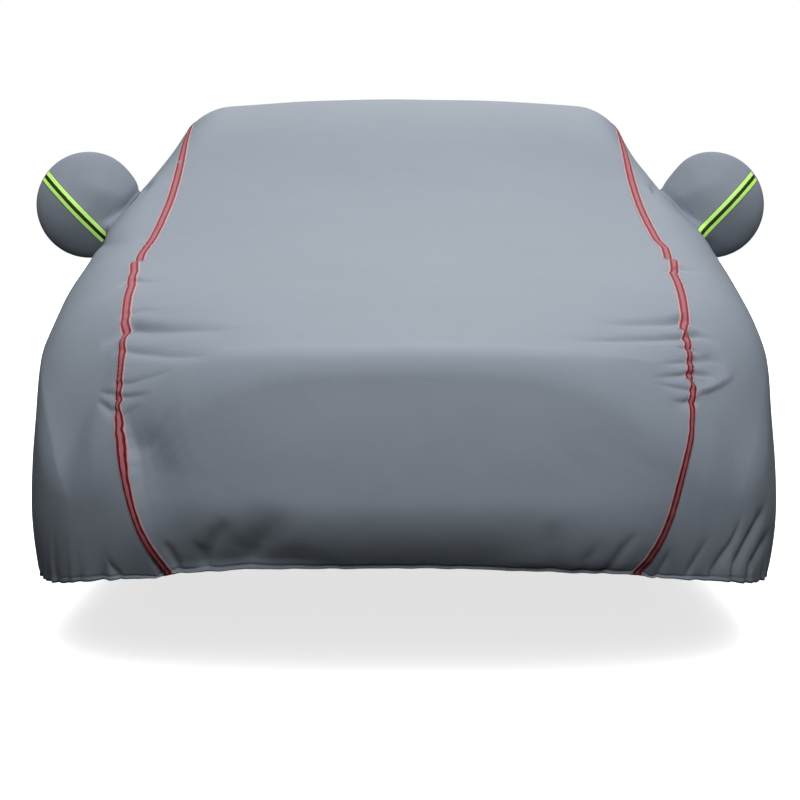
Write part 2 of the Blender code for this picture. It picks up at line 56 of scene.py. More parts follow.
# Overall sizes, the same as those of the solids
LENGTH = 4.75
HALF_WIDTH = 0.926
ROOF_HEIGHT = 1.420
SEAM_CLEARANCE = 0.0004
SOLID_CLOTH = 0.0025  # thickness of the solids' cloth

# Lower part: how the cloth lies on the front, the sides and the back
WIDEST_HEIGHT = (0.35, 0.45)
SHOULDER_HEIGHT = 0.95
UPPER_DRAW_IN = 0.20
LOWER_DRAW_IN = 0.50
FRONT_CORNER_DEPTH = 0.98
REAR_CORNER_DEPTH = 0.85
CORNER_POWER = 2.5
NOSE_MIDDLE_HEIGHT = 0.50
NOSE_LEAN = 0.50
REAR_LEAN_SHARE = 0.6
TUCK_HEIGHT = 0.35
TUCK_SLOPE = 0.9
TUCK_ROUND = 0.08
TUCK_HALF_WIDTH = 0.75
DECK_ARCH = 0.11
CORNER_DROOP = 0.22
DROOP_HALF_WIDTH = 0.62
DROOP_LENGTH = 0.80
DROOP_POWER = 5
LIP_ROUND = 0.05
SHOULDER_ROUND = 0.42
ROUND_HALF_WIDTH = 0.70
ROUND_POWER = 6
DECK = (
    # station, height
    (0.00, 0.735),
    (0.60, 0.880),
    (1.35, 0.985),
    (2.60, 1.040),
    (4.00, 1.075),
    (4.75, 1.030),
)

# Cabin: each foot is a station and a height, each rise a slope, each taper a start and a slope
WINDSCREEN_FOOT = (1.32, 0.985)
WINDSCREEN_RISE = 0.535
WINDSCREEN_BOW = 0.22
REAR_SCREEN_FOOT = (4.02, 1.075)
REAR_SCREEN_RISE = 0.40
ROOF_PEAK_STATION = 2.60
ROOF_ARCH = 0.105
ROOF_CAMBER = 0.072
RAIL_HALF_WIDTH = 0.613
RAIL_HEIGHT = 1.390
SIDE_SPREAD = 0.705
RAIL_TAPER_FRONT = (2.25, 0.10)
RAIL_TAPER_REAR = (3.10, 0.07)
CABIN_NARROWING = (0.020, 0.048)  # share by which the cabin is drawn in at its left and right
NARROW_HEIGHTS = (0.96, 1.15, 1.44)
CABIN_ROUND = 0.12
RAIL_ROUND = 0.06
BRIDGE = 0.30
SEAM_LINE = (
    # way along the middle from the front hem, half-width
    (0.00, 0.518),
    (0.12, 0.580),
    (0.25, 0.617),
    (0.42, 0.646),
    (0.60, 0.652),
    (1.00, 0.663),
    (1.40, 0.681),
    (1.60, 0.680),
    (1.90, 0.654),
    (2.20, 0.644),
    (2.75, 0.648),
    (3.40, 0.640),
    (4.20, 0.650),
    (4.90, 0.668),
    (5.40, 0.640),
    (5.80, 0.570),
    (6.04, 0.505),
)
HEM_FRONT = (0.270, 0.244)
HEM_REAR = (0.300, 0.275)
HEM_SIDE = (
    # station, height
    (0.15, 0.244),
    (0.45, 0.185),
    (0.85, 0.163),
    (1.60, 0.168),
    (2.40, 0.170),
    (3.60, 0.178),
    (4.30, 0.200),
    (4.65, 0.275),
)
SPINE = (0.90, 3.95)
SPINE_HEIGHT = 0.55
MIDDLE_SAMPLES = 900
ROW_SAMPLES = 160
HEM_TABLE_WIDTH = 0.80
HEM_TABLE_ROWS = 17
HEM_TABLE_TURNS = 60
FRONT_TURNS = (-0.45, 0.05)
REAR_TURNS = (3.45, 2.95)
HEM_PASSES = 6
HEM_FADE = 0.45
FOOT_TURN = math.radians(2.6)
CAST_LENGTH = 4.0
CAST_HALVINGS = 34
SLOPE_STEP = 0.002
SHRINK_STEP = 0.009
TINY = 1e-6

# Grid of the cloth: zones of rows, each with the way where it ends and its step
MIDDLE_ROWS = (
    (0.024, 0.0024), (0.36, 0.0070), (0.90, 0.0030), (1.50, 0.0075), (2.00, 0.014), (5.90, 0.038),
    (math.inf, 0.011))
SIDE_ROWS = (
    (0.024, 0.0024), (0.36, 0.0084), (0.90, 0.0040), (2.35, 0.0088), (5.86, 0.040), (math.inf, 0.011))
NEAR_SEAM = (0.30, 30, 1.35)  # strip beside the seam, its columns and how they widen away from the seam
MIDDLE_WIDE_COLUMNS = 15
SIDE_COLUMNS = 92
SIDE_NEAR_LENGTH = 0.66  # row length that would give the seam's column step all the way

# Creases that cross a seam.  Each runs along (across, way, depth) points, across counted outward from
# the seam; depth is negative for a ridge.  The rear width lies behind the line, the front width before it.
CREASES = (
    # name, side, rear width, front width, points
    ("cowl pinch", -1, 0.012, 0.040, (
        (-0.080, 1.240, 0.000), (-0.030, 1.268, 0.005), (-0.010, 1.281, 0.010), (0.006, 1.281, 0.007),
        (0.034, 1.290, 0.000))),
    ("upper pinch", -1, 0.010, 0.030, (
        (-0.106, 0.956, 0.000), (-0.040, 0.990, 0.004), (-0.012, 0.978, 0.006), (0.017, 0.999, 0.000))),
    ("bonnet crease", -1, 0.024, 0.060, (
        (-0.400, 0.700, 0.000), (-0.314, 0.716, 0.003), (-0.235, 0.742, 0.007), (-0.128, 0.783, 0.012),
        (-0.067, 0.816, 0.017), (-0.025, 0.843, 0.022), (-0.006, 0.850, 0.020), (0.010, 0.848, 0.014),
        (0.034, 0.872, 0.008), (0.075, 0.925, 0.000))),
    ("lip fold", -1, 0.030, 0.040, (
        (-0.330, 0.520, 0.000), (-0.270, 0.540, 0.004), (-0.161, 0.582, 0.006), (-0.053, 0.657, 0.008),
        (-0.010, 0.700, 0.006), (0.030, 0.785, 0.000))),
    ("upper fan", -1, 0.012, 0.020, (
        (-0.246, 0.506, 0.000), (-0.173, 0.491, 0.002), (-0.109, 0.480, 0.004), (-0.045, 0.470, 0.005),
        (-0.010, 0.474, 0.004), (0.010, 0.484, 0.000))),
    ("lower fan", -1, 0.009, 0.016, (
        (-0.136, 0.436, 0.000), (-0.090, 0.430, 0.003), (-0.040, 0.427, 0.005), (-0.001, 0.430, 0.005),
        (0.051, 0.515, 0.0045), (0.095, 0.668, 0.000))),
    ("lamp fold", -1, 0.010, 0.022, (
        (-0.100, 0.404, 0.000), (-0.050, 0.392, 0.003), (-0.007, 0.375, 0.0055), (0.033, 0.426, 0.006),
        (0.072, 0.505, 0.004), (0.102, 0.620, 0.000))),
    ("lamp hollow", -1, 0.075, 0.130, (
        (-0.420, 0.440, 0.000), (-0.320, 0.415, 0.005), (-0.240, 0.385, 0.009), (-0.180, 0.355, 0.015),
        (-0.140, 0.328, 0.021), (-0.105, 0.312, 0.027), (-0.070, 0.302, 0.031), (-0.030, 0.296, 0.030),
        (-0.008, 0.294, 0.020), (0.018, 0.292, 0.000))),
    ("lip edge", -1, 0.050, 0.045, (
        (-1.300, 0.507, -0.006), (-0.450, 0.511, -0.006), (-0.330, 0.520, -0.005), (-0.240, 0.508, -0.003),
        (-0.150, 0.480, 0.000))),
    ("hem hollow", -1, 0.090, 0.030, (
        (-0.430, 0.036, 0.000), (-0.330, 0.034, 0.007), (-0.230, 0.032, 0.010), (-0.110, 0.032, 0.009),
        (-0.040, 0.032, 0.005), (0.020, 0.032, 0.000))),
    ("lip edge", 1, 0.050, 0.045, (
        (-1.300, 0.507, -0.006), (-0.450, 0.513, -0.006), (-0.250, 0.536, -0.005), (-0.100, 0.555, -0.002),
        (-0.030, 0.565, 0.000))),
    ("hem swell", 1, 0.120, 0.034, (
        (-0.380, 0.036, 0.000), (-0.270, 0.034, -0.007), (-0.150, 0.032, -0.009), (-0.060, 0.032, -0.006),
        (0.000, 0.032, 0.000))),
    ("cowl pinch", 1, 0.009, 0.030, (
        (-0.040, 1.400, 0.000), (-0.012, 1.406, 0.004), (0.004, 1.420, 0.008), (0.016, 1.438, 0.009),
        (0.043, 1.455, 0.006), (0.095, 1.480, 0.000))),
    ("upper crease", 1, 0.022, 0.040, (
        (-0.260, 0.790, 0.000), (-0.172, 0.814, 0.005), (-0.099, 0.851, 0.008), (-0.042, 0.883, 0.012),
        (-0.008, 0.911, 0.017), (0.009, 0.944, 0.011), (0.045, 0.962, 0.005), (0.082, 0.997, 0.000))),
    ("bonnet crease", 1, 0.018, 0.030, (
        (-0.400, 0.620, 0.000), (-0.324, 0.633, 0.004), (-0.217, 0.669, 0.006), (-0.085, 0.739, 0.008),
        (-0.010, 0.789, 0.011), (0.009, 0.823, 0.012), (0.040, 0.888, 0.010), (0.070, 0.931, 0.006),
        (0.112, 0.981, 0.000))),
    ("short pinch", 1, 0.010, 0.018, (
        (-0.038, 0.722, 0.000), (-0.017, 0.716, 0.005), (0.005, 0.729, 0.007), (0.044, 0.796, 0.000))),
    ("lip fold", 1, 0.020, 0.030, (
        (-0.130, 0.530, 0.000), (-0.049, 0.580, 0.004), (0.001, 0.620, 0.006), (0.030, 0.700, 0.007),
        (0.076, 0.808, 0.006), (0.122, 0.883, 0.000))),
    ("upper fan", 1, 0.010, 0.020, (
        (-0.160, 0.470, 0.000), (-0.104, 0.486, 0.003), (-0.042, 0.503, 0.006), (-0.003, 0.520, 0.008),
        (0.025, 0.583, 0.007), (0.057, 0.667, 0.005), (0.100, 0.765, 0.000))),
    ("lower fan", 1, 0.007, 0.016, (
        (-0.144, 0.459, 0.000), (-0.094, 0.458, 0.003), (-0.040, 0.454, 0.004), (0.000, 0.452, 0.004),
        (0.021, 0.480, 0.000))),
    ("bright facet", 1, 0.060, 0.008, (
        (0.010, 0.440, 0.000), (0.034, 0.500, -0.005), (0.055, 0.557, -0.008), (0.090, 0.684, -0.008),
        (0.133, 0.814, -0.005), (0.165, 0.900, 0.000))),
    ("lamp notch", 1, 0.009, 0.020, (
        (-0.090, 0.416, 0.000), (-0.034, 0.409, 0.006), (0.008, 0.417, 0.010), (0.024, 0.437, 0.000))),
)
CREASE_POWER = 1.5  # how the flanks run out: 1 is a sharp cusp, 2 a round bell
CREASE_LEAN = (
    # way, how far backwards a trough's bottom lies for each metre of its depth
    (0.30, 0.0),
    (0.36, 0.4),
    (0.45, 0.8),
    (0.50, 1.2),
    (0.60, 2.4),
    (0.90, 2.9),
    (1.05, 3.2),
    (1.30, 4.3),
    (1.45, 3.9),
)

# Wrinkles at the hem, along (across, way, depth) points, with the widths left and right of their run
HEM_WRINKLES = (
    # side, width left, width right, points
    (-1, 0.012, 0.016, (
        (-0.240, 0.150, 0.000), (-0.212, 0.122, 0.006), (-0.178, 0.095, 0.009), (-0.122, 0.046, 0.007),
        (-0.096, 0.016, 0.004))),
    (-1, 0.010, 0.010, (
        (-0.044, 0.090, 0.000), (-0.038, 0.063, 0.006), (-0.030, 0.030, 0.008), (-0.025, 0.006, 0.005))),
    (-1, 0.010, 0.012, ((-0.120, 0.090, 0.000), (-0.115, 0.063, 0.005), (-0.095, 0.020, 0.005))),
    (-1, 0.040, 0.016, (
        (-0.420, 0.170, 0.000), (-0.361, 0.126, 0.008), (-0.298, 0.087, 0.013), (-0.236, 0.044, 0.011),
        (-0.203, 0.010, 0.006))),
    (-1, 0.010, 0.010, ((0.024, 0.080, 0.000), (0.025, 0.048, 0.004), (0.023, 0.010, 0.005))),
    (-1, 0.012, 0.012, ((0.235, 0.245, 0.000), (0.228, 0.220, 0.004), (0.202, 0.170, 0.005))),
    (1, 0.014, 0.014, ((-0.080, 0.125, 0.000), (-0.091, 0.079, 0.005), (-0.087, 0.010, 0.006))),
    (1, 0.016, 0.014, ((-0.171, 0.105, 0.000), (-0.163, 0.057, 0.005), (-0.144, 0.010, 0.004))),
    (1, 0.020, 0.030, ((-0.320, 0.155, 0.000), (-0.284, 0.101, 0.006), (-0.222, 0.020, 0.006))),
    (1, 0.016, 0.016, ((0.053, 0.115, 0.000), (0.058, 0.087, 0.004), (0.061, 0.020, 0.005))),
    (1, 0.016, 0.016, ((0.227, 0.300, 0.000), (0.204, 0.224, 0.004), (0.184, 0.160, 0.004))),
    (1, 0.022, 0.016, (
        (0.349, 0.500, 0.000), (0.351, 0.413, 0.006), (0.329, 0.336, 0.006), (0.314, 0.291, 0.003))),
    (1, 0.024, 0.020, (
        (0.453, 0.800, 0.000), (0.434, 0.653, 0.009), (0.434, 0.519, 0.011), (0.424, 0.437, 0.006))),
    (1, 0.020, 0.020, ((0.565, 0.880, 0.000), (0.527, 0.720, 0.008), (0.518, 0.601, 0.008))),
)

# Cloth drawn in above the side hem, side: depth
WING_HOLLOWS = {-1: 0.012, 1: 0.015}
WING_HOLLOW_RISE = 0.44  # height above the hem
WING_HOLLOW_REACH = 0.17
WING_ZONE = (0.10, 0.32)  # distances from the seam where it begins and is full

# Cloth drawn flat between the seam and the wing's shoulder, side: depth
SHOULDER_BENDS = {-1: 0.016, 1: 0.006}
BEND_REACH = 0.30
BEND_WAYS = (0.40, 0.70, 1.30, 1.65)  # ways where it starts, is full, starts to end and ends

# Small unevenness
PUCKER_DEPTH = 0.0007
PUCKER_REACH = 0.022
PUCKER_TURN = 0.7  # phase by which the two seams' puckers differ from the middle's
PUCKER_WAVES = (
    # radians a metre, share of the depth, share of the side's phase, phase
    (172, 1.0, 1.0, 0.0),
    (119, 0.8, 2.1, 1.0),
    (241, 0.6, 0.0, 1.3),
)
PUCKER_PATCH = (0.55, 0.45, 9.3, 2.0)  # middle depth, change, its radians a metre and the side's phase
SLACK_DEPTH = 0.0010
SLACK_WAVES = (
    # share, then for each of two crossing waves its radians a metre along and aside and its phase
    (1.0, (9.1, 3.7, 0.4), (-2.2, 5.3, 1.0)),
    (0.6, (17.0, -6.0, 0.0), (4.1, 7.9, math.pi / 2)),
)

# Hem
HEM_BAND = 0.009  # width of the rolled hem
HEM_RISE = 0.0022
HEM_GROOVE = 0.0016
GATHER_REACH = 0.050
GATHERS = (0.0007, 0.0026)  # depth at the front and at the corners and sides
GATHER_ZONE = (0.05, 0.30)
GATHER_WAVES = ((88, 1.0, 0.0), (61, 0.7, 1.7), (137, 0.4, 0.6))  # radians a metre, share of the depth, phase
GATHER_SEAM_WIDTH = 0.06  # how near to a seam the gathers fade
HEM_GROOVE_PLACE = 1.15  # in hem widths from the edge
HEM_GROOVE_WIDTH = 0.003
HEM_STITCH_PITCH = 0.0050
HEM_STITCH = (0.0040, 0.0020, 0.0007)  # length, width and height
STITCH_FACES = (  # of a stitch's start, two sides, end, top and bottom
    (0, 1, 4), (1, 2, 4), (2, 3, 4), (3, 0, 4), (1, 0, 5), (2, 1, 5), (3, 2, 5), (0, 3, 5))

# Mirror pockets
POCKET_REACH = {-1: 0.900, 1: 0.877}  # side: distance from the middle to the pocket's middle
POCKET_STATION = 1.75
POCKET_HEIGHT = 1.080
POCKET_RADIUS = 0.151
POCKET_FRONT_DEPTH = 0.085
POCKET_BACK_DEPTH = 0.070
POCKET_BULGE = 0.75
POCKET_BLEND = 0.060  # greatest width over which pocket and panel run into each other
POCKET_TIGHT_BLEND = 0.014
POCKET_SOFT_PLACE = {-1: (-0.062, 0.030), 1: (-0.075, 0.034)}  # side: height of the soft join, half its span
POCKET_HOLLOW = 0.20  # how much shallower the pocket is away from the ridge under its strip
POCKET_RIDGE_WIDTH = 0.050
POCKET_SWELL = ((-0.120, -0.010, 0.0), (-0.090, 0.020, -0.008), (-0.040, 0.040, -0.010), (0.040, 0.075, 0.0))
POCKET_CREASES = (
    # side, width left, width right, (outward, up, depth) points from the pocket's middle
    (-1, 0.015, 0.004, (
        (-0.170, 0.044, 0.016), (-0.137, 0.014, 0.014), (-0.114, -0.009, 0.009), (-0.088, -0.036, 0.0))),
    (-1, 0.020, 0.014, (
        (-0.175, -0.100, 0.0), (-0.110, -0.108, 0.008), (-0.062, -0.110, 0.009), (-0.046, -0.112, 0.0))),
    (-1, 0.045, 0.045, POCKET_SWELL),
    (1, 0.045, 0.045, POCKET_SWELL),
    (1, 0.014, 0.004, (
        (-0.172, 0.034, 0.016), (-0.143, 0.003, 0.012), (-0.120, -0.017, 0.007), (-0.080, -0.054, 0.0))),
)
POCKET_CREASE_BACK = 0.03  # how far behind the pocket's middle the creases reach
POCKET_SCALE = 0.14
POCKET_FLAT = {-1: 0.020, 1: 0.060}  # side: flattening of the upper inner edge
POCKET_FLAT_ANGLE = math.radians(37.7)
POCKET_FLAT_WIDTH = math.radians(22)
POCKET_RIDGE_SOFTNESS = 0.02
POCKET_GRID = 75
POCKET_DEEPEST = 0.22  # no pocket's front or back lies further from its middle plane
POCKET_WIDEST = 0.34  # no pocket's rim lies further from its middle
POCKET_LIFT_STEPS = 60
POCKET_RIM_STEPS = 68
POCKET_RIM_TURNS = 721
POCKET_RIM_PAST = 0.0015
POCKET_HALF_CLEARANCE = 0.00015
POCKET_SLOPE_STEP = 0.003
POCKET_SLACK = (0.0010, (31, 12), (-9, 27), 0.5)  # depth, radians a metre outward and up of two waves, phase
OPENING_LIFT_SHARE = 0.6  # of the blend, how far the cloth beside a pocket may stand off
OPENING_LIFT_STEPS = 12
OPENING_HALVINGS = 12
OPENING_REACH = 3 * POCKET_BLEND
OPENING_CORNER_COST = 0.5
OPENING_LEAST_LIFT = 0.0004
ROOT_HALVINGS = 22
POCKET_ALLOWANCE = (0.006, 0.0020)  # seam allowance past the pocket's edge and how deep it lies
SIDE_NAMES = {-1: "left", 1: "right"}

# Reflective strips
STRIP_TURN = math.radians(46)
STRIP_OFFSET = 0.030
STRIP_RIM_SHARE = 0.965
STRIP_INNER_END = {-1: -0.105, 1: -0.094}  # side: where the strip meets the panel, from the pocket's middle
STRIP_COLUMNS = 13
STRIP_ROWS = 70
STRIP_ROW_POWER = 1.5
STRIP_LIFT = 0.0004
STRIP_EDGE_DROP = 0.0005

# Seam tapes
TAPE_ROWS = ((0.30, 0.0050), (1.72, 0.0030), (5.95, 0.026), (math.inf, 0.010))
TAPE_LIFT = 0.0002
TAPE_PROFILE = (
    # share of the half width, rise
    (-1.00, -0.0004),
    (-0.93, 0.0),
    (-0.61, 0.0),
    (-0.30, 0.0003),
    (0.00, 0.0004),
    (0.30, 0.0003),
    (0.61, 0.0),
    (0.93, 0.0),
    (1.00, -0.0004),
)
TAPE_LINES = {
    # side: way along the seam and how far outward of it the tape was sewn
    -1: (
        (0.011, 0.005), (0.089, 0.008), (0.157, 0.012), (0.229, 0.013), (0.302, 0.008), (0.371, 0.002),
        (0.399, 0.002), (0.407, 0.002), (0.418, -0.008), (0.424, -0.008), (0.432, -0.003), (0.440, -0.004),
        (0.450, -0.008), (0.524, -0.008), (0.658, -0.006), (0.790, -0.002), (0.840, -0.004), (0.860, -0.007),
        (0.878, -0.004), (0.942, -0.002), (0.972, -0.005), (0.982, -0.003), (1.131, -0.003), (1.245, -0.008),
        (1.272, -0.007), (1.284, -0.002), (1.319, -0.003), (1.404, -0.004), (1.500, 0.006), (1.512, 0.006),
        (1.518, -0.006), (1.575, -0.003), (1.643, -0.006), (1.709, -0.008), (1.900, 0.000)),
    1: (
        (0.004, -0.006), (0.060, 0.000), (0.119, -0.002), (0.204, -0.002), (0.280, 0.001), (0.330, 0.007),
        (0.371, 0.004), (0.412, 0.006), (0.444, 0.005), (0.481, 0.008), (0.496, 0.008), (0.502, -0.004),
        (0.568, 0.003), (0.639, 0.005), (0.699, 0.004), (0.749, 0.001), (0.809, 0.001), (0.862, 0.005),
        (0.868, 0.005), (0.874, -0.007), (0.925, -0.002), (0.955, 0.005), (0.978, 0.006), (1.017, 0.003),
        (1.109, 0.002), (1.270, -0.004), (1.385, -0.008), (1.400, -0.006), (1.412, -0.001), (1.530, 0.008),
        (1.536, 0.008), (1.542, -0.005), (1.652, 0.003), (1.715, -0.006), (1.900, 0.000)),
}
TAPE_STITCH = (0.0042, 0.0024, 0.0008)  # length, width and height
STITCH_CHANNEL = 0.0030  # half the width of the band of painted shade, partly the stitches' colour, along each row of stitches where they draw the tape in
CHANNEL_WANDER = 0.004
# Painted shade on the seam tape: darkest towards the front of the cover, and how much of the stitches' colour
# it takes
FRONT_SHADE_WAYS = (0.30, 1.0)  # ways where the painted shade on the tape is full and where it has faded out
FRONT_SHADE_SHARE = 0.35

# Finishes: noise scales, shares of the colour between which it varies, reliefs and shines
CLOUD_SCALE = 2.6
FUZZ_SCALE = 90.0
CLOUD_SHARE = 0.7
CLOTH_SHADES = (0.93, 1.07)
CLOTH_RELIEF = (
    # noise scale, detail, roughness, height
    (11.0, 3.0, 0.45, 0.0018),
    (42.0, 2.0, 0.5, 0.0004),
)
WEAVE_HEIGHT = 0.00003
CLOTH_SHINE = 0.06
WORN_SCALE = 60.0
WANDER_SCALE = 55.0
PALE_EDGE = 0.8
TAPE_SHADES = (0.82, 1.2)
TAPE_RIB = (0.0016, 0.0012, 0.00008)  # pitch along, pitch across and height
TWIST_SCALE = 700.0
TWIST_HEIGHT = 0.0002
THREAD_SHADES = (0.75, 1.15)
THREAD_SHINE = 0.1
BEAD_SCALE = 900.0
STRIP_SHADES = (0.9, 1.1)
STRIP_RIB = (0.0015, 0.00006)  # pitch and height

# Stage
FLOOR_REACH = 90.0
FLOOR_GLOW = 0.75
BACKDROP_REACH = 80.0
BACKDROP_LOW = -0.3
STRIP_LIGHT_PLACE = 0.048
STRIP_LIGHT_WIDTH = 0.305
LIGHT_RISE = (0.10, 0.95)
LIGHT_FALL = 0.884
LIGHT_BACK = (-0.15, 0.25)
LIGHT_BEHIND = 0.55  # share of the light that comes from behind the cover
VIEW_SIZE = 800
VIEW_FOCUS = 2354.0
VIEW_PITCH = math.radians(4.06)
VIEW_YAW = math.radians(0.1)
VIEW_REACH = 200.0
SENSOR_MM = 36.0


# ---------------------------------------------------------------- shape of the cloth


def smooth_curve(rows):
    """Returns a smooth function through the rows' (place, value) pairs."""
    places = np.array([row[0] for row in rows], float)
    values = np.array([row[1] for row in rows], float)
    slopes = np.gradient(values, places)

    def curve(place):
        place = np.clip(np.asarray(place, float), places[0], places[-1])
        i = np.clip(np.searchsorted(places, place, side="right") - 1, 0, len(places) - 2)
        span = places[i + 1] - places[i]
        t = (place - places[i]) / span
        start = values[i] * (1 + 2 * t) * (1 - t) ** 2 + slopes[i] * span * t * (1 - t) ** 2
        finish = values[i + 1] * t * t * (3 - 2 * t) - slopes[i + 1] * span * t * t * (1 - t)
        return start + finish

    return curve


deck_height = smooth_curve(DECK)
seam_half_width = smooth_curve(SEAM_LINE)
hem_side_height = smooth_curve(HEM_SIDE)


def soft_max(a, b, width):
    """The larger of two values, rounded off where they are within width of each other."""
    h = np.maximum(width - np.abs(a - b), 0.0) / width
    return np.maximum(a, b) + h * h * width / 4


def soft_min(a, b, width):
    """The smaller of two values, rounded off in the same way."""
    return -soft_max(-a, -b, width)


def over(value):
    """The value where it is above zero, and zero elsewhere."""
    return np.maximum(value, 0.0)


def smooth_step(low, high, value):
    """Zero below low, one above high and a smooth rise between."""
    t = np.clip((value - low) / (high - low), 0, 1)
    return t * t * (3 - 2 * t)


def unit(vector):
    """Vectors brought to length one."""
    return vector / np.maximum(np.linalg.norm(vector, axis=-1, keepdims=True), 1e-12)


def hull(x, s, z):
    """Negative inside the upright hull that the cloth takes at its front, sides and back."""
    low, high = WIDEST_HEIGHT
    rise = over(np.minimum(z, SHOULDER_HEIGHT) - high)
    half = HALF_WIDTH - UPPER_DRAW_IN * rise ** 2 - LOWER_DRAW_IN * over(low - z) ** 2
    tuck = TUCK_SLOPE * soft_max(TUCK_HEIGHT - z, 0.0 * z, TUCK_ROUND)
    tuck = tuck * over(1 - (x / TUCK_HALF_WIDTH) ** 2)
    lean = NOSE_LEAN * (z - NOSE_MIDDLE_HEIGHT) ** 2 + tuck
    front = over(FRONT_CORNER_DEPTH - (s - lean)) / FRONT_CORNER_DEPTH
    rear = over(s + lean * REAR_LEAN_SHARE - (LENGTH - REAR_CORNER_DEPTH)) / REAR_CORNER_DEPTH
    side = np.abs(x) / half
    plan = (side ** CORNER_POWER + front ** CORNER_POWER + rear ** CORNER_POWER) ** (1 / CORNER_POWER)
    return (plan - 1) * half


def cabin(x, s, z):
    """Negative below screens, roof and side windows."""
    foot_s, foot_z = WINDSCREEN_FOOT
    tilt = math.hypot(1.0, WINDSCREEN_RISE)
    screen = (z - foot_z - WINDSCREEN_RISE * (s - foot_s - WINDSCREEN_BOW * x * x)) / tilt
    foot_s, foot_z = REAR_SCREEN_FOOT
    tilt = math.hypot(1.0, REAR_SCREEN_RISE)
    rear = (z - foot_z - REAR_SCREEN_RISE * (foot_s - WINDSCREEN_BOW * x * x - s)) / tilt
    roof = z - ROOF_HEIGHT + ROOF_ARCH * (s - ROOF_PEAK_STATION) ** 2 + ROOF_CAMBER * x * x
    front_taper = RAIL_TAPER_FRONT[1] * over(RAIL_TAPER_FRONT[0] - s)
    rear_taper = RAIL_TAPER_REAR[1] * over(s - RAIL_TAPER_REAR[0])
    side = np.abs(x) - RAIL_HALF_WIDTH + front_taper + rear_taper - SIDE_SPREAD * (RAIL_HEIGHT - z)
    side = side / math.hypot(1.0, SIDE_SPREAD)
    return soft_max(soft_max(soft_max(screen, rear, CABIN_ROUND), roof, CABIN_ROUND), side, RAIL_ROUND)


def narrowing(x, z):
    """Share by which the cabin's sides stand nearer to the middle: the cover is tighter on the right."""
    left, right = CABIN_NARROWING
    low, full, high = NARROW_HEIGHTS
    return np.where(x > 0, right, left) * smooth_step(low, full, z) * (1 - smooth_step(full, high, z))


def cover_field(points):
    """Negative inside the cloth's outer face, positive outside."""
    x, s, z = points[..., 0], points[..., 1], points[..., 2]
    x = x * (1 + narrowing(x, z))
    droop = CORNER_DROOP * (np.abs(x) / DROOP_HALF_WIDTH) ** DROOP_POWER * over(1 - s / DROOP_LENGTH) ** 2
    deck = z - deck_height(s) + DECK_ARCH * x * x + droop
    top = soft_min(deck, cabin(x, s, z), BRIDGE)
    reach = np.abs(x) / (1 + (x / ROUND_HALF_WIDTH) ** ROUND_POWER) ** (1 / ROUND_POWER)
    return soft_max(hull(x, s, z), top, LIP_ROUND + SHOULDER_ROUND * reach ** 3)


def slope_of(field, points):
    """Unit normals of a field's surface."""
    steps = np.eye(3) * SLOPE_STEP
    return unit(np.stack([field(points + d) - field(points - d) for d in steps], axis=-1))


def cast(base, way):
    """Where rays from base, inside the cover, meet the outer face."""
    near = np.zeros(way.shape[:-1])
    far = np.full(way.shape[:-1], CAST_LENGTH)
    for _ in range(CAST_HALVINGS):
        middle = (near + far) / 2
        outside = cover_field(base + way * middle[..., None]) > 0
        far = np.where(outside, middle, far)
        near = np.where(outside, near, middle)
    return base + way * near[..., None]


def section_points(q, x):
    """Points of the outer face at turn q and distance x from the middle."""
    q, x = np.broadcast_arrays(np.asarray(q, float), np.asarray(x, float))
    turn = np.minimum(q, 1) + over(q - 2)
    angle = turn * math.pi / 2
    station = SPINE[0] + np.clip(q - 1, 0, 1) * (SPINE[1] - SPINE[0])
    base = np.stack([x, station, np.full_like(x, SPINE_HEIGHT)], axis=-1)
    way = np.stack([np.zeros_like(x), -np.cos(angle), np.sin(angle)], axis=-1)
    return cast(base, way)


def hem_turns(heights, start, stop):
    """Table of the turn q at which the cloth, x from the middle, comes down to the hem's height."""
    widths = np.linspace(0, HEM_TABLE_WIDTH, HEM_TABLE_ROWS)
    turns = np.linspace(start, stop, HEM_TABLE_TURNS)
    middle, at_seam = heights
    found = []
    for x in widths:
        target = middle + (at_seam - middle) * (x / seam_half_width(0.0)) ** 2
        z = section_points(turns, np.full_like(turns, x))[:, 2]
        found.append(np.interp(target, z, turns))
    return widths, np.array(found)


def spread(points, along, distances):
    """Points of many lines, one line a row, at distances along each."""
    out = np.empty(distances.shape + (3,))
    for i in range(len(points)):
        for k in range(3):
            out[i, :, k] = np.interp(distances[i], along[i], points[i, :, k])
    return out


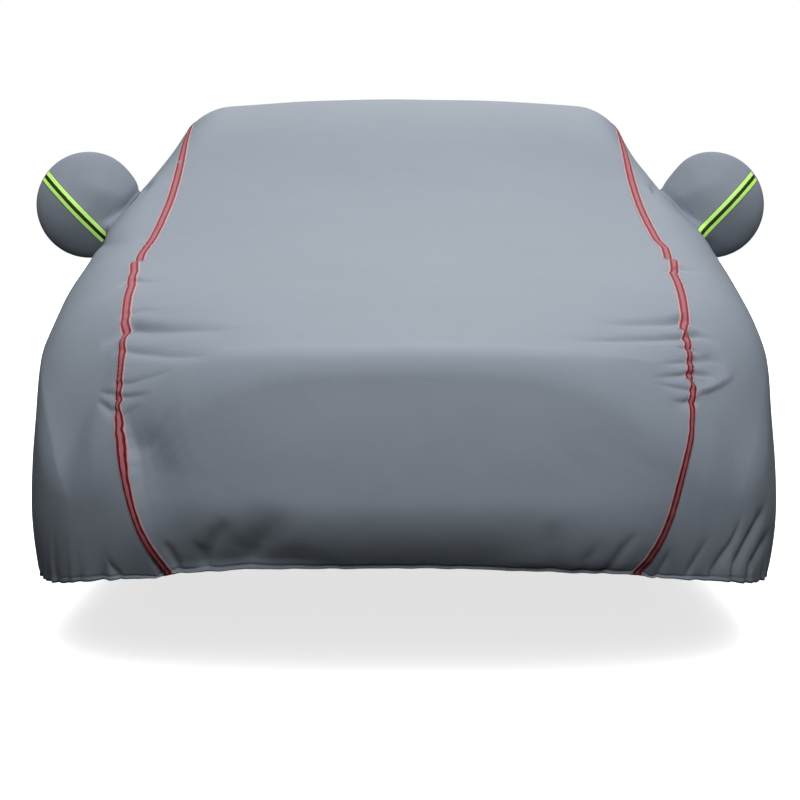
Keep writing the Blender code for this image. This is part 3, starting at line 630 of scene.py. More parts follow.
class Cut:
    """The cut of the cover: where each way along the middle and distance across lies on its shape."""

    def __init__(self):
        self.front = hem_turns(HEM_FRONT, *FRONT_TURNS)
        self.rear = hem_turns(HEM_REAR, *REAR_TURNS)
        self.turns = np.linspace(self.front[1][0], self.rear[1][0], MIDDLE_SAMPLES)
        self.line = section_points(self.turns, np.zeros_like(self.turns))
        steps = np.linalg.norm(np.diff(self.line, axis=0), axis=1)
        self.ways = np.concatenate([[0.0], np.cumsum(steps)])
        self.length = float(self.ways[-1])
        self.front_way = float(np.interp(1.0, self.turns, self.ways))
        self.rear_way = float(np.interp(2.0, self.turns, self.ways))

    def turn(self, way, x):
        """The turn q for a way along the middle, bent near the hems to follow them."""
        q = np.interp(way, self.ways, self.turns)
        x = np.abs(x)
        front = np.interp(x, *self.front) - self.front[1][0]
        rear = np.interp(x, *self.rear) - self.rear[1][0]
        q = q + front * over(1 - way / HEM_FADE) ** 2
        return q + rear * over(1 - (self.length - way) / HEM_FADE) ** 2

    def middle_point(self, way, x):
        """The outer face's point at a way along the middle and x from it."""
        way, x = np.broadcast_arrays(np.asarray(way, float), np.asarray(x, float))
        return section_points(self.turn(way, x), x)

    def shrink(self, way):
        """Change of x for each metre along the cloth, beside the seam."""
        half = seam_half_width(way)
        gap = self.middle_point(way, half) - self.middle_point(way, half - SHRINK_STEP)
        return SHRINK_STEP / np.linalg.norm(gap, axis=-1)

    def side_rows(self, ways, side):
        """Dense points of the side panel's rows, seam to hem, and their distances from the seam."""
        seam = self.middle_point(ways, side * seam_half_width(ways))
        q = np.interp(ways, self.ways, self.turns)
        station = SPINE[0] + np.clip(q - 1, 0, 1) * (SPINE[1] - SPINE[0])
        base = np.stack([0 * station, station, 0 * station + SPINE_HEIGHT], axis=-1)
        foot = self.middle_point(np.array([0.0, self.length]), seam_half_width(np.array([0.0, self.length])))
        first = math.atan2(foot[0, 0], SPINE[0] - foot[0, 1]) + FOOT_TURN
        last = math.pi - math.atan2(foot[1, 0], foot[1, 1] - SPINE[1]) - FOOT_TURN
        front_share = np.clip(ways / self.front_way, 0, 1)
        rear_share = np.clip((ways - self.rear_way) / (self.length - self.rear_way), 0, 1)
        azimuth = first + (math.pi / 2 - first) * front_share + (last - math.pi / 2) * rear_share
        hem = self.hem_points(station, azimuth, side)
        start, finish = unit(seam - base)[:, None], unit(hem - base)[:, None]
        share = np.linspace(0, 1, ROW_SAMPLES)[None, :, None]
        angle = np.arccos(np.clip(np.sum(start * finish, axis=-1, keepdims=True), -1, 1))
        way = (np.sin((1 - share) * angle) * start + np.sin(share * angle) * finish) / np.sin(angle)
        points = cast(np.broadcast_to(base[:, None], way.shape), way)
        steps = np.linalg.norm(np.diff(points, axis=1), axis=2)
        return points, np.concatenate([np.zeros((len(ways), 1)), np.cumsum(steps, axis=1)], axis=1)

    def hem_points(self, station, azimuth, side):
        """The side hem in each direction azimuth, which is 0 forward and half a turn behind."""
        way = np.stack([side * np.sin(azimuth), -np.cos(azimuth), 0 * azimuth], axis=-1)
        height = hem_side_height(station)
        for _ in range(HEM_PASSES):
            point = cast(np.stack([0 * station, station, height], axis=-1), way)
            height = hem_side_height(point[:, 1])
        return point


CUT = Cut()


def zone_rows(zones, length):
    """Ways of the rows, zone by zone."""
    ways = [0.0]
    for end, step in zones:
        end = min(end, length)
        count = max(1, round((end - ways[-1]) / step))
        ways.extend(np.linspace(ways[-1], end, count + 1)[1:])
    return np.array(ways)


# ---------------------------------------------------------------- folds


def line_relief(p, q, line, left, right):
    """Relief of a crease along (p, q, depth) points, with its widths to the left and right of its run."""
    best, depth = np.full(p.shape, math.inf), np.zeros(p.shape)
    for (p0, q0, d0), (p1, q1, d1) in zip(line[:-1], line[1:]):
        dp, dq = p1 - p0, q1 - q0
        share = np.clip(((p - p0) * dp + (q - q0) * dq) / (dp * dp + dq * dq), 0, 1)
        off_p, off_q = p - p0 - share * dp, q - q0 - share * dq
        width = np.where(dp * off_q - dq * off_p > 0, left, right)
        far = np.hypot(off_p, off_q) / width
        depth = np.where(far < best, d0 + (d1 - d0) * share, depth)
        best = np.minimum(far, best)
    return -depth * np.exp(-(best ** CREASE_POWER))


def crease_height(way, across, side):
    """Creases that run out from a seam; across is outward from it."""
    height = np.zeros(np.broadcast(way, across).shape)
    for _, crease_side, rear, front, points in CREASES:
        if crease_side != side:
            continue
        places, ways, depths = np.array(points).T
        depth = np.interp(across, places, depths, left=0.0, right=0.0)
        bottom = np.interp(across, places, ways)
        off = way - bottom - depth * np.interp(bottom, *np.array(CREASE_LEAN).T)
        far = np.abs(off) / np.where(off > 0, rear, front)
        height = height - depth * np.exp(-(far ** CREASE_POWER))
    return height


def wing_height(across, side, edge):
    """The cloth drawn in where it spans from the wing's shoulder down to its side."""
    depth = WING_HOLLOWS[side] * smooth_step(*WING_ZONE, across)
    return -depth * np.exp(-(((edge - WING_HOLLOW_RISE) / WING_HOLLOW_REACH) ** 2))


def bend_height(way, across, side):
    """The flat slope outside the seam, where the cloth spans from the bonnet to the wing's shoulder."""
    share = np.clip(across / BEND_REACH, 0, 1)
    start, full, last, stop = BEND_WAYS
    window = smooth_step(start, full, way) * (1 - smooth_step(last, stop, way))
    return -SHOULDER_BENDS[side] * 4 * share * (1 - share) * window


def pucker_height(way, across, side):
    """Small gathers that the seam's stitching draws into the cloth beside it."""
    turn = PUCKER_TURN * side
    wave = sum(share * np.sin(way * waves + lag * turn + phase) for waves, share, lag, phase in PUCKER_WAVES)
    middle, change, patches, lag = PUCKER_PATCH
    patch = middle + change * np.sin(way * patches + lag * side)
    return PUCKER_DEPTH * wave * patch * np.exp(-(np.abs(across) / PUCKER_REACH) ** CREASE_POWER)


def slack_height(way, across, side):
    """Long soft waves of slack cloth."""
    aside = side * (seam_half_width(way) + across)

    def wave(turns_along, turns_aside, phase):
        return np.sin(turns_along * way + turns_aside * aside + phase)

    return SLACK_DEPTH * sum(share * wave(*first) * wave(*second) for share, first, second in SLACK_WAVES)


def gather_height(edge, along, across):
    """Gathers of the hem and its rolled edge; edge is the distance from the hem."""
    wave = sum(share * np.sin(along * waves + phase) for waves, share, phase in GATHER_WAVES)
    near_seam = 1 - np.exp(-((across / GATHER_SEAM_WIDTH) ** 2))
    low, high = GATHERS
    depth = low + (high - low) * smooth_step(*GATHER_ZONE, across)
    gather = depth * wave * near_seam * np.exp(-edge / GATHER_REACH)
    share = np.clip(edge / HEM_BAND, 0, 1)
    roll = HEM_RISE * np.sqrt(over(1 - (2 * share - 1) ** 2))
    groove = HEM_GROOVE * np.exp(-(((edge - HEM_BAND * HEM_GROOVE_PLACE) / HEM_GROOVE_WIDTH) ** 2))
    return gather + roll - groove


def cloth_height(way, across, side, edge, along):
    """Height of all folds above the plain shape."""
    height = crease_height(way, across, side) + bend_height(way, across, side)
    height = height + wing_height(across, side, edge)
    for wrinkle_side, left, right, line in HEM_WRINKLES:
        if wrinkle_side == side:
            height = height + line_relief(*np.broadcast_arrays(across, way), line, left, right)
    height = height + pucker_height(way, across, side) + slack_height(way, across, side)
    return height + gather_height(edge, along, across)


# ---------------------------------------------------------------- pockets


def pocket_field(points, side):
    """Negative inside a mirror pocket."""
    u = side * points[..., 0] - POCKET_REACH[side]
    w = points[..., 1] - POCKET_STATION
    v = points[..., 2] - POCKET_HEIGHT
    turn = np.arctan2(v, -u)
    flat = POCKET_FLAT[side] * np.exp(-(((turn - POCKET_FLAT_ANGLE) / POCKET_FLAT_WIDTH) ** 2))
    rho = np.hypot(u, v) / (POCKET_RADIUS * (1 - flat))
    off_strip = (u * math.sin(STRIP_TURN) - v * math.cos(STRIP_TURN) - STRIP_OFFSET) / POCKET_RIDGE_WIDTH
    hollow = POCKET_HOLLOW * (1 - np.exp(-np.sqrt(off_strip ** 2 + POCKET_RIDGE_SOFTNESS)))
    depth = np.where(w < 0, POCKET_FRONT_DEPTH * (1 - hollow), POCKET_BACK_DEPTH)
    bulge = (np.abs(w) / depth) ** (1 / POCKET_BULGE)
    return (np.sqrt(rho ** 2 + bulge) - 1) * POCKET_SCALE


def joined_field(points, side):
    """Negative inside the cover and its pocket, which run smoothly into each other."""
    place_up, span = POCKET_SOFT_PLACE[side]
    soft = np.exp(-(((points[..., 2] - POCKET_HEIGHT - place_up) / span) ** 2))
    width = POCKET_TIGHT_BLEND + (POCKET_BLEND - POCKET_TIGHT_BLEND) * soft
    return soft_min(cover_field(points), pocket_field(points, side), width)


def joined_slope(points, side):
    """Unit normals of the cover and its pocket."""
    return slope_of(lambda p: joined_field(p, side), points)


def pocket_crease_height(points, side):
    """Creases where a pocket folds down onto its panel."""
    u = side * points[..., 0] - POCKET_REACH[side]
    v = points[..., 2] - POCKET_HEIGHT
    height = np.zeros(u.shape)
    for crease_side, left, right, line in POCKET_CREASES:
        if crease_side == side:
            height = height + line_relief(u, v, line, left, right)
    return np.where(points[..., 1] < POCKET_STATION + POCKET_CREASE_BACK, height, 0.0)


def first_root(function, shape, far, steps):
    """The least t from 0 to far at which function(t) turns positive, for each place."""
    low = np.zeros(shape)
    found = np.zeros(shape, bool)
    for k in range(1, steps + 1):
        t = np.full(shape, far * k / steps)
        outside = (function(t) > 0) & ~found
        low = np.where(outside, far * (k - 1) / steps, low)
        found |= outside
    low = np.where(found, low, far)
    high = low + far / steps
    for _ in range(ROOT_HALVINGS):
        middle = (low + high) / 2
        outside = function(middle) > 0
        high = np.where(outside, middle, high)
        low = np.where(outside, low, middle)
    return np.where(found, low, far)


# ---------------------------------------------------------------- meshes


def to_world(points):
    """From the working frame to the model's frame."""
    return points - ORIGIN


def grid_quads(rows, columns):
    """Corner numbers of every cell of a grid."""
    i, j = np.meshgrid(np.arange(rows - 1), np.arange(columns - 1), indexing="ij")
    a = (i * columns + j).ravel()
    return np.stack([a, a + 1, a + columns + 1, a + columns], axis=1)


def grid_normals(points):
    """Normals of a grid of points, turned as the order of its rows and columns gives."""
    down = np.gradient(points, axis=0)
    across = np.gradient(points, axis=1)
    return unit(np.cross(across, down))


def closed_sheet(name, points, normals, quads, thickness, marks, flip=False):
    """A closed sheet below its outer points; marks are its (across, along) coordinates in metres."""
    used, quads = np.unique(quads, return_inverse=True)
    quads = quads.reshape(-1, 4)
    if flip:
        quads = quads[:, ::-1]
    points, normals, marks = points[used], normals[used], marks[used]
    count = len(points)
    edges = np.concatenate([quads[:, [k, (k + 1) % 4]] for k in range(4)])
    keys = edges[:, 0] * count + edges[:, 1]
    twins = edges[:, 1] * count + edges[:, 0]
    rim = edges[~np.isin(keys, twins)]
    walls = np.stack([rim[:, 1], rim[:, 0], rim[:, 0] + count, rim[:, 1] + count], axis=1)
    faces = np.concatenate([quads, quads[:, ::-1] + count, walls])
    mesh = bpy.data.meshes.new(name)
    both = to_world(np.concatenate([points, points - normals * thickness]))
    mesh.from_pydata(both.tolist(), [], faces.tolist())
    layer = mesh.uv_layers.new(name="cut")
    uv = np.concatenate([marks, marks])[faces.ravel()]
    layer.data.foreach_set("uv", uv.astype(np.float32).ravel())
    return add_item(name, mesh)


def add_item(name, mesh):
    """Puts a mesh into the scene, shaded smooth."""
    mesh.shade_smooth()
    mesh.update()
    item = bpy.data.objects.new(name, mesh)
    bpy.context.scene.collection.objects.link(item)
    return item


def stitch_run(line, normals, pitch, length, width, height):
    """Points and faces of a row of stitches along a line, with the line's normals."""
    steps = np.linalg.norm(np.diff(line, axis=0), axis=1)
    along = np.concatenate([[0.0], np.cumsum(steps)])
    places = np.arange(pitch, along[-1] - pitch, pitch)

    def at(values, where):
        return np.stack([np.interp(where, along, values[:, k]) for k in range(3)], axis=-1)

    middle = at(line, places)
    start = at(line, places - length / 2)
    finish = at(line, places + length / 2)
    up = unit(at(normals, places))
    aside = unit(np.cross(finish - start, up)) * width / 2
    points = np.stack([
        start, middle + aside, finish, middle - aside, middle + up * height, middle - up * height / 2,
    ], axis=1)
    faces = np.array(STITCH_FACES)[None] + (np.arange(len(places)) * 6)[:, None, None]
    return points.reshape(-1, 3), faces.reshape(-1, 3)


def thread_object(name, runs):
    """One mesh of several rows of stitches."""
    points, faces, first = [], [], 0
    for run_points, run_faces in runs:
        points.append(run_points)
        faces.append(run_faces + first)
        first += len(run_points)
    mesh = bpy.data.meshes.new(name)
    mesh.from_pydata(to_world(np.concatenate(points)).tolist(), [], np.concatenate(faces).tolist())
    return add_item(name, mesh)


def place(item, material, slot, *nodes):
    """Gives a piece its material and its body and hides the model's nodes that it stands for; the slot is not
    used.
    """
    item.data.materials.append(material)
    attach(item, "root")
    if nodes:
        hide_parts(*nodes)
    return item


ORIGIN = np.array([0.0, LENGTH / 2, 0.0])
ROOF_TOP = cast(np.array([0.0, LENGTH / 2, SPINE_HEIGHT]), np.array([0.0, 0.0, 1.0]))[2]
ROOF_UNDERSIDE = float(ROOF_TOP) - SOLID_CLOTH
ORIGIN[2] = ROOF_UNDERSIDE


# ---------------------------------------------------------------- laid cloth


class Laid:
    """A piece of cloth laid on the shape: a grid of points with their normals and cut coordinates."""

    def __init__(self, points, normals, quads, marks):
        self.points = points
        self.normals = normals
        self.quads = quads
        self.marks = marks


def outward_normals(points, guide):
    """A grid's own normals, turned to the guide's side."""
    own = grid_normals(points)
    return own * np.sign(np.sum(own * guide, axis=-1, keepdims=True))


def lay_middle():
    """The middle panel, row by row from one seam to the other."""
    ways = zone_rows(MIDDLE_ROWS, CUT.length)[:, None]
    half, shrink = seam_half_width(ways), CUT.shrink(ways[:, 0])[:, None]
    near, columns, widening = NEAR_SEAM
    distances = near * np.linspace(1, 0, columns + 1)[None] ** widening
    distances[0, -1] = SEAM_CLEARANCE / 2
    wide = np.linspace(0, 1, MIDDLE_WIDE_COLUMNS + 1)[None, :-1]
    half_row = np.concatenate([(half - near * shrink) * wide, half - distances * shrink], axis=1)
    x = np.concatenate([-half_row[:, :0:-1], half_row], axis=1)
    plain = CUT.middle_point(ways, x)
    normals = slope_of(cover_field, plain)
    across = (np.abs(x) - half) / shrink
    edge = np.minimum(ways, CUT.length - ways) + 0 * x
    height = np.where(
        x < 0, cloth_height(ways, across, -1, edge, x), cloth_height(ways, across, 1, edge, x))
    points = plain + normals * height[..., None]
    marks = np.stack([x / shrink, ways + 0 * x], axis=-1)
    return Laid(points, outward_normals(points, normals), grid_quads(*x.shape), marks)


def joined_lift(plain, normals, side):
    """How far cloth near a pocket stands off its plain shape, and the room left to the pocket's edge."""

    def reach(t):
        return joined_field(plain + normals * t[..., None], side)

    lift = first_root(reach, plain.shape[:-1], POCKET_BLEND * OPENING_LIFT_SHARE, OPENING_LIFT_STEPS)
    there = plain + normals * lift[..., None]
    return lift, pocket_field(there, side) - cover_field(there)


def open_pocket(plain, normals, side):
    """Lifts a side panel's cloth towards its pocket and moves the cells' corners to the opening's edge."""
    lift, room = np.zeros(plain.shape[:-1]), np.ones(plain.shape[:-1])
    near = pocket_field(plain, side) < OPENING_REACH
    lift[near], room[near] = joined_lift(plain[near], normals[near], side)
    kept = room >= 0
    moved_plain, moved_normals, best = plain.copy(), normals.copy(), np.full(lift.shape, -1.0)
    for di, dj in ((0, 1), (0, -1), (1, 0), (-1, 0), (1, 1), (1, -1), (-1, 1), (-1, -1)):
        i, j = np.nonzero(~kept)
        ki, kj = i + di, j + dj
        fits = (ki >= 0) & (kj >= 0) & (ki < kept.shape[0]) & (kj < kept.shape[1])
        i, j, ki, kj = i[fits], j[fits], ki[fits], kj[fits]
        beside = kept[ki, kj]
        i, j, ki, kj = i[beside], j[beside], ki[beside], kj[beside]
        low, high = np.zeros(len(i)), np.ones(len(i))
        for _ in range(OPENING_HALVINGS):
            share = ((low + high) / 2)[:, None]
            p = plain[ki, kj] + (plain[i, j] - plain[ki, kj]) * share
            n = unit(normals[ki, kj] + (normals[i, j] - normals[ki, kj]) * share)
            inside = joined_lift(p, n, side)[1] >= 0
            low = np.where(inside, share[:, 0], low)
            high = np.where(inside, high, share[:, 0])
        score = low - (OPENING_CORNER_COST if di and dj else 0.0)
        better = score > best[i, j]
        moved_plain[i[better], j[better]] = p[better]
        moved_normals[i[better], j[better]] = n[better]
        best[i[better], j[better]] = score[better]
    edge = best > -1
    lift[edge] = joined_lift(moved_plain[edge], moved_normals[edge], side)[0]
    return moved_plain, moved_normals, lift, kept


def lay_side(side):
    """A side panel, row by row from the seam to the hem, opened where its pocket is sewn on."""
    ways = zone_rows(SIDE_ROWS, CUT.length)
    rows, along = CUT.side_rows(ways, side)
    total = along[:, -1:]
    ways = ways[:, None]
    t = np.linspace(0, 1, SIDE_COLUMNS)[None]
    even = np.minimum(SIDE_NEAR_LENGTH, total)
    distances = even * t + (total - even) * t ** 3
    distances[:, 0] = SEAM_CLEARANCE / 2
    plain = spread(rows, along, distances)
    normals = slope_of(cover_field, plain)
    ends = np.minimum(ways, CUT.length - ways)
    edge = np.minimum(ends, total - distances)
    hem = np.linalg.norm(np.diff(rows[:, -1], axis=0), axis=1)
    hem = np.concatenate([[0.0], np.cumsum(hem)])[:, None] + 0 * distances
    height = cloth_height(ways, distances, side, edge, side * hem)
    plain, normals, lift, kept = open_pocket(plain, normals, side)
    fade = 1 - smooth_step(0, POCKET_BLEND / 4, lift)
    points = plain + normals * (lift + height * fade)[..., None]
    points = points + normals * pocket_crease_height(points, side)[..., None]
    own = outward_normals(points, normals)
    near = lift > OPENING_LEAST_LIFT
    own[near] = joined_slope(points[near], side)
    quads = grid_quads(*kept.shape)
    quads = quads[kept.ravel()[quads].any(axis=1)]
    half = seam_half_width(ways)
    marks = np.stack([side * (half + distances), ways + 0 * distances], axis=-1)
    return Laid(points, own, quads, marks), edge


def line_in_rows(values, places, target):
    """A line across a grid: each row's value where its places reach the row's target."""
    out = np.empty((len(values), 3))
    for i in range(len(values)):
        order = np.argsort(places[i])
        for k in range(3):
            out[i, k] = np.interp(target[i], places[i][order], values[i, order, k])
    return out


# ---------------------------------------------------------------- pocket surface


def pocket_lift(side, facing, u, v):
    """Points of the pocket's middle plane, and of the joined surface before or behind them."""
    base = np.stack([side * (POCKET_REACH[side] + u), POCKET_STATION + 0 * u, POCKET_HEIGHT + v], axis=-1)
    way = np.array([0.0, facing, 0.0])

    def reach(t):
        return joined_field(base + way * t[..., None], side)

    lift = first_root(reach, u.shape, POCKET_DEEPEST, POCKET_LIFT_STEPS)
    return base, base + way * lift[..., None]


def pocket_ends(side, facing, turns):
    """Distance from the pocket's middle to its rim or to the panel, and whether the panel ends it."""
    cos, sin = np.cos(turns), np.sin(turns)

    def ended(r):
        base, top = pocket_lift(side, facing, r * cos, r * sin)
        outside = joined_field(base, side) >= 0
        on_panel = cover_field(top) < pocket_field(top, side)
        return np.where(outside | on_panel, 1.0, -1.0)

    reach = first_root(ended, turns.shape, POCKET_WIDEST, POCKET_RIM_STEPS)
    past = reach + POCKET_RIM_PAST
    base = pocket_lift(side, facing, past * cos, past * sin)[0]
    return reach, joined_field(base, side) < 0


def pocket_fold_height(side, facing, u, v):
    """Soft folds of the pocket's cloth."""
    depth, first, second, phase = POCKET_SLACK
    wave = np.sin(first[0] * u + first[1] * v + 2 * side + facing)
    return depth * wave * np.sin(second[0] * u + second[1] * v + phase)


def lay_pocket(side, facing, count):
    """One half of a mirror pocket as a grid that fills its outline."""
    turns = np.linspace(-math.pi, math.pi, POCKET_RIM_TURNS)
    reach, on_panel = pocket_ends(side, facing, turns)
    a, b = np.meshgrid(np.linspace(-1, 1, count), np.linspace(-1, 1, count), indexing="ij")
    p, q = a * np.sqrt(1 - b * b / 2), b * np.sqrt(1 - a * a / 2)
    share, turn = np.hypot(p, q), np.arctan2(q, p)
    end = np.interp(turn, turns, reach)
    r = end * np.sin(np.minimum(share, 1) * math.pi / 2)
    u, v = r * np.cos(turn), r * np.sin(turn)
    points = pocket_lift(side, facing, u, v)[1]
    normals = joined_slope(points, side)
    rim = share > 1 - TINY
    points = points + np.array([0.0, facing * POCKET_HALF_CLEARANCE, 0.0])
    fade = over(1 - share ** 4)
    relief = pocket_fold_height(side, facing, u, v) * fade + pocket_crease_height(points, side)
    points = points + normals * relief[..., None]
    sewn = rim & (np.interp(turn, turns, on_panel.astype(float)) > 0.5)
    back = POCKET_SLOPE_STEP / np.maximum(end, TINY)
    inner = pocket_lift(side, facing, u * (1 - back), v * (1 - back))[1]
    tangent = unit(points - inner)
    length, depth = POCKET_ALLOWANCE
    moved = points + tangent * length - normals * depth
    points = np.where(sewn[..., None], moved, points)
    own = outward_normals(points, normals)
    own[rim] = normals[rim]
    marks = np.stack([u, v], axis=-1)
    return Laid(points, own, grid_quads(count, count), marks)


def surface_on_pocket(side, u, v):
    """Points and normals of the pocket's front cloth at u outward and v upward from its middle."""
    points = pocket_lift(side, -1, u, v)[1]
    normals = joined_slope(points, side)
    relief = pocket_fold_height(side, -1, u, v) + pocket_crease_height(points, side)
    return points + normals * relief[..., None], normals


def build_sheet(name, laid, thickness):
    """Makes a laid piece's closed mesh with its outer face outward."""
    flat = laid.points.reshape(-1, 3)
    quad = laid.quads[len(laid.quads) // 3]
    face = np.cross(flat[quad[1]] - flat[quad[0]], flat[quad[3]] - flat[quad[0]])
    flip = bool(np.dot(face, laid.normals.reshape(-1, 3)[quad[0]]) < 0)
    return closed_sheet(
        name, flat, laid.normals.reshape(-1, 3), laid.quads, thickness, laid.marks.reshape(-1, 2), flip)


# ---------------------------------------------------------------- finishes


class Wire:
    """A node's output that takes part in sums."""

    def __init__(self, book, socket):
        self.book = book
        self.socket = socket

    def sum(self, operation, a, b=0.0):
        return self.book.node("ShaderNodeMath", {"operation": operation}, {0: a, 1: b})

    def __add__(self, other):
        return self.sum("ADD", self, other)

    def __sub__(self, other):
        return self.sum("SUBTRACT", self, other)

    def __rsub__(self, other):
        return self.sum("SUBTRACT", other, self)

    def __mul__(self, other):
        return self.sum("MULTIPLY", self, other)

    def __gt__(self, other):
        return self.sum("GREATER_THAN", self, other)

    def __lt__(self, other):
        return self.sum("LESS_THAN", self, other)

    def size(self):
        return self.sum("ABSOLUTE", self)

    def sine(self):
        return self.sum("SINE", self)

    def power_of_e(self):
        return self.sum("EXPONENT", self)

    __radd__ = __add__
    __rmul__ = __mul__


class Book:
    """The nodes of one material or world."""

    def __init__(self, tree):
        self.tree = tree
        tree.nodes.clear()

    def node(self, kind, settings=None, sockets=None, output=0):
        """Adds a node, sets it, fills its sockets and returns one of its outputs."""
        made = self.tree.nodes.new(kind)
        for name, value in (settings or {}).items():
            setattr(made, name, value)
        for name, value in (sockets or {}).items():
            if isinstance(value, Wire):
                self.tree.links.new(value.socket, made.inputs[name])
            else:
                made.inputs[name].default_value = value
        return Wire(self, made.outputs[output]) if made.outputs else made

    def mix(self, factor, first, second):
        """A colour between two colours."""
        return self.node(
            "ShaderNodeMix", {"data_type": "RGBA"}, {0: factor, 6: first, 7: second}, output=2)

    def noise(self, vector, scale, detail=2.0, roughness=0.5):
        return self.node(
            "ShaderNodeTexNoise", {},
            {"Vector": vector, "Scale": scale, "Detail": detail, "Roughness": roughness})

    def bump(self, height, distance, normal=None):
        sockets = {"Height": height, "Distance": distance, "Strength": 1.0}
        if normal is not None:
            sockets["Normal"] = normal
        return self.node("ShaderNodeBump", {}, sockets)

    def cut_marks(self):
        """The cut coordinates in metres: the vector, across and along."""
        vector = self.node("ShaderNodeUVMap", {"uv_map": "cut"})
        across, along, _ = self.parts_of(vector)
        return vector, across, along

    def parts_of(self, vector):
        """The three numbers of a vector."""
        first = self.node("ShaderNodeSeparateXYZ", {}, {"Vector": vector})
        outputs = first.socket.node.outputs
        return first, Wire(self, outputs[1]), Wire(self, outputs[2])

    def ramp(self, value, ends, results, smooth=False):
        """A number that goes from one result to the other while the value goes from end to end."""
        sockets = dict(zip(("From Min", "From Max", "To Min", "To Max"), ends + results), Value=value)
        return self.node(
            "ShaderNodeMapRange", {"interpolation_type": "SMOOTHSTEP" if smooth else "LINEAR"}, sockets)

    def shades(self, factor, colour, limits):
        """A colour that varies between two shares of itself."""
        return self.mix(factor, rgba(scaled(colour, limits[0])), rgba(scaled(colour, limits[1])))


def new_book(name):
    """A new material and its book of nodes."""
    material = bpy.data.materials.new(name)
    material.use_nodes = True
    return material, Book(material.node_tree)


def finish_surface(book, **sockets):
    """Adds the main shader with its sockets and joins it to the output."""
    names = [key.replace("_", " ").title().replace("Ior", "IOR") for key in sockets]
    shader = book.node("ShaderNodeBsdfPrincipled", {}, dict(zip(names, sockets.values())))
    book.node("ShaderNodeOutputMaterial", {}, {"Surface": shader})


def rgba(colour):
    return (colour[0], colour[1], colour[2], 1.0)


def scaled(colour, factor):
    return tuple(channel * factor for channel in colour)


def cover_cloth(settings):
    """Coated polyester: fine weave, faint mottling and small wrinkles."""
    material, book = new_book("cover_cloth")
    vector, across, along = book.cut_marks()
    cloudy = book.noise(vector, CLOUD_SCALE, 3.0)
    fuzz = book.noise(vector, FUZZ_SCALE, 3.0)
    tone = cloudy * CLOUD_SHARE + fuzz * (1 - CLOUD_SHARE)
    colour = book.shades(tone, settings.colour, CLOTH_SHADES)
    normal = None
    for scale, detail, roughness, height in CLOTH_RELIEF:
        normal = book.bump(book.noise(vector, scale, detail, roughness), height, normal)
    turn = 2 * math.pi / settings.weave_pitch
    normal = book.bump((across * turn).sine() * (along * turn).sine(), WEAVE_HEIGHT, normal)
    finish_surface(
        book, base_color=colour, roughness=fuzz * 0.10 + (settings.roughness - 0.05), normal=normal,
        specular_ior_level=CLOTH_SHINE)
    return material


def seam_tape_cloth(settings):
    """Woven binding tape with a paler edge on both sides and two drawn-in rows of stitches, with painted
    shade along the rows and over the tape, darkest at the front.
    """
    material, book = new_book("seam_tape_cloth")
    vector, across, along = book.cut_marks()
    side = across.size()
    worn = book.noise(vector, WORN_SCALE, 3.0)
    colour = book.shades(worn, settings.colour, TAPE_SHADES)
    edge = side > (settings.width / 2 - settings.edge_width)
    colour = book.mix(edge * PALE_EDGE, colour, rgba(settings.edge_colour))
    # Painted shade: the tape takes more of the stitches' colour towards the front of the cover
    front_shade = book.ramp(along, FRONT_SHADE_WAYS, (1.0, 0.0))
    colour = book.mix(front_shade * FRONT_SHADE_SHARE, colour, rgba(settings.stitch_and_shade_colour))
    # Painted shade along each row of stitches, partly the thread's colour, stronger towards the front
    wander = (book.noise(vector, WANDER_SCALE, 1.0) - 0.5) * CHANNEL_WANDER
    channel = (side + wander - settings.stitch_rows / 2).size() < STITCH_CHANNEL
    colour = book.mix(channel * (front_shade * 0.5 + 0.5), colour, rgba(settings.stitch_and_shade_colour))
    pitch_along, pitch_across, height = TAPE_RIB
    rib = (along * (2 * math.pi / pitch_along)).sine() + (across * (2 * math.pi / pitch_across)).sine()
    finish_surface(
        book, base_color=colour, roughness=worn * 0.15 + 0.6, normal=book.bump(rib, height),
        specular_ior_level=THREAD_SHINE)
    return material


def thread(name, colour):
    """Twisted sewing thread."""
    material, book = new_book(name)
    place_in = book.node("ShaderNodeTexCoord", {}, {}, output=3)
    fuzz = book.noise(place_in, TWIST_SCALE, 2.0)
    finish_surface(
        book, base_color=book.shades(fuzz, colour, THREAD_SHADES), roughness=fuzz * 0.2 + 0.5,
        normal=book.bump(fuzz, TWIST_HEIGHT), specular_ior_level=THREAD_SHINE)
    return material


def reflective_webbing(settings):
    """Webbing with two bright bands beside a dark middle and thin dark edges; the bright bands glow with a
    painted reflection.
    """
    material, book = new_book("reflective_webbing")
    vector, across, along = book.cut_marks()
    side = across.size()
    middle = side < settings.middle_width / 2
    border = side > (settings.width / 2 - settings.border_width)
    beads = book.noise(vector, BEAD_SCALE, 1.0)
    colour = book.mix(middle, book.shades(beads, settings.bright, STRIP_SHADES), rgba(settings.dark))
    colour = book.mix(border, colour, rgba(settings.dark))
    # Painted reflection: the bright bands glow, though they are no lamp
    glow = book.mix(middle, rgba(settings.bright), rgba((0, 0, 0)))
    glow = book.mix(border, glow, rgba((0, 0, 0)))
    pitch, height = STRIP_RIB
    rib = (along * (2 * math.pi / pitch)).sine() * (across * (2 * math.pi / pitch)).sine()
    finish_surface(
        book, base_color=colour, roughness=beads * 0.2 + 0.3, normal=book.bump(rib, height),
        emission_color=glow, emission_strength=settings.glow)
    return material


# ---------------------------------------------------------------- settings


def length_property(name, words, default, low=0.0, high=1.0):
    return FloatProperty(
        name=name, description=words, default=default, min=low, max=high, unit="LENGTH", precision=4)


def colour_property(name, words, default):
    return FloatVectorProperty(
        name=name, description=words, default=default, size=3, min=0.0, max=1.0, subtype="COLOR")


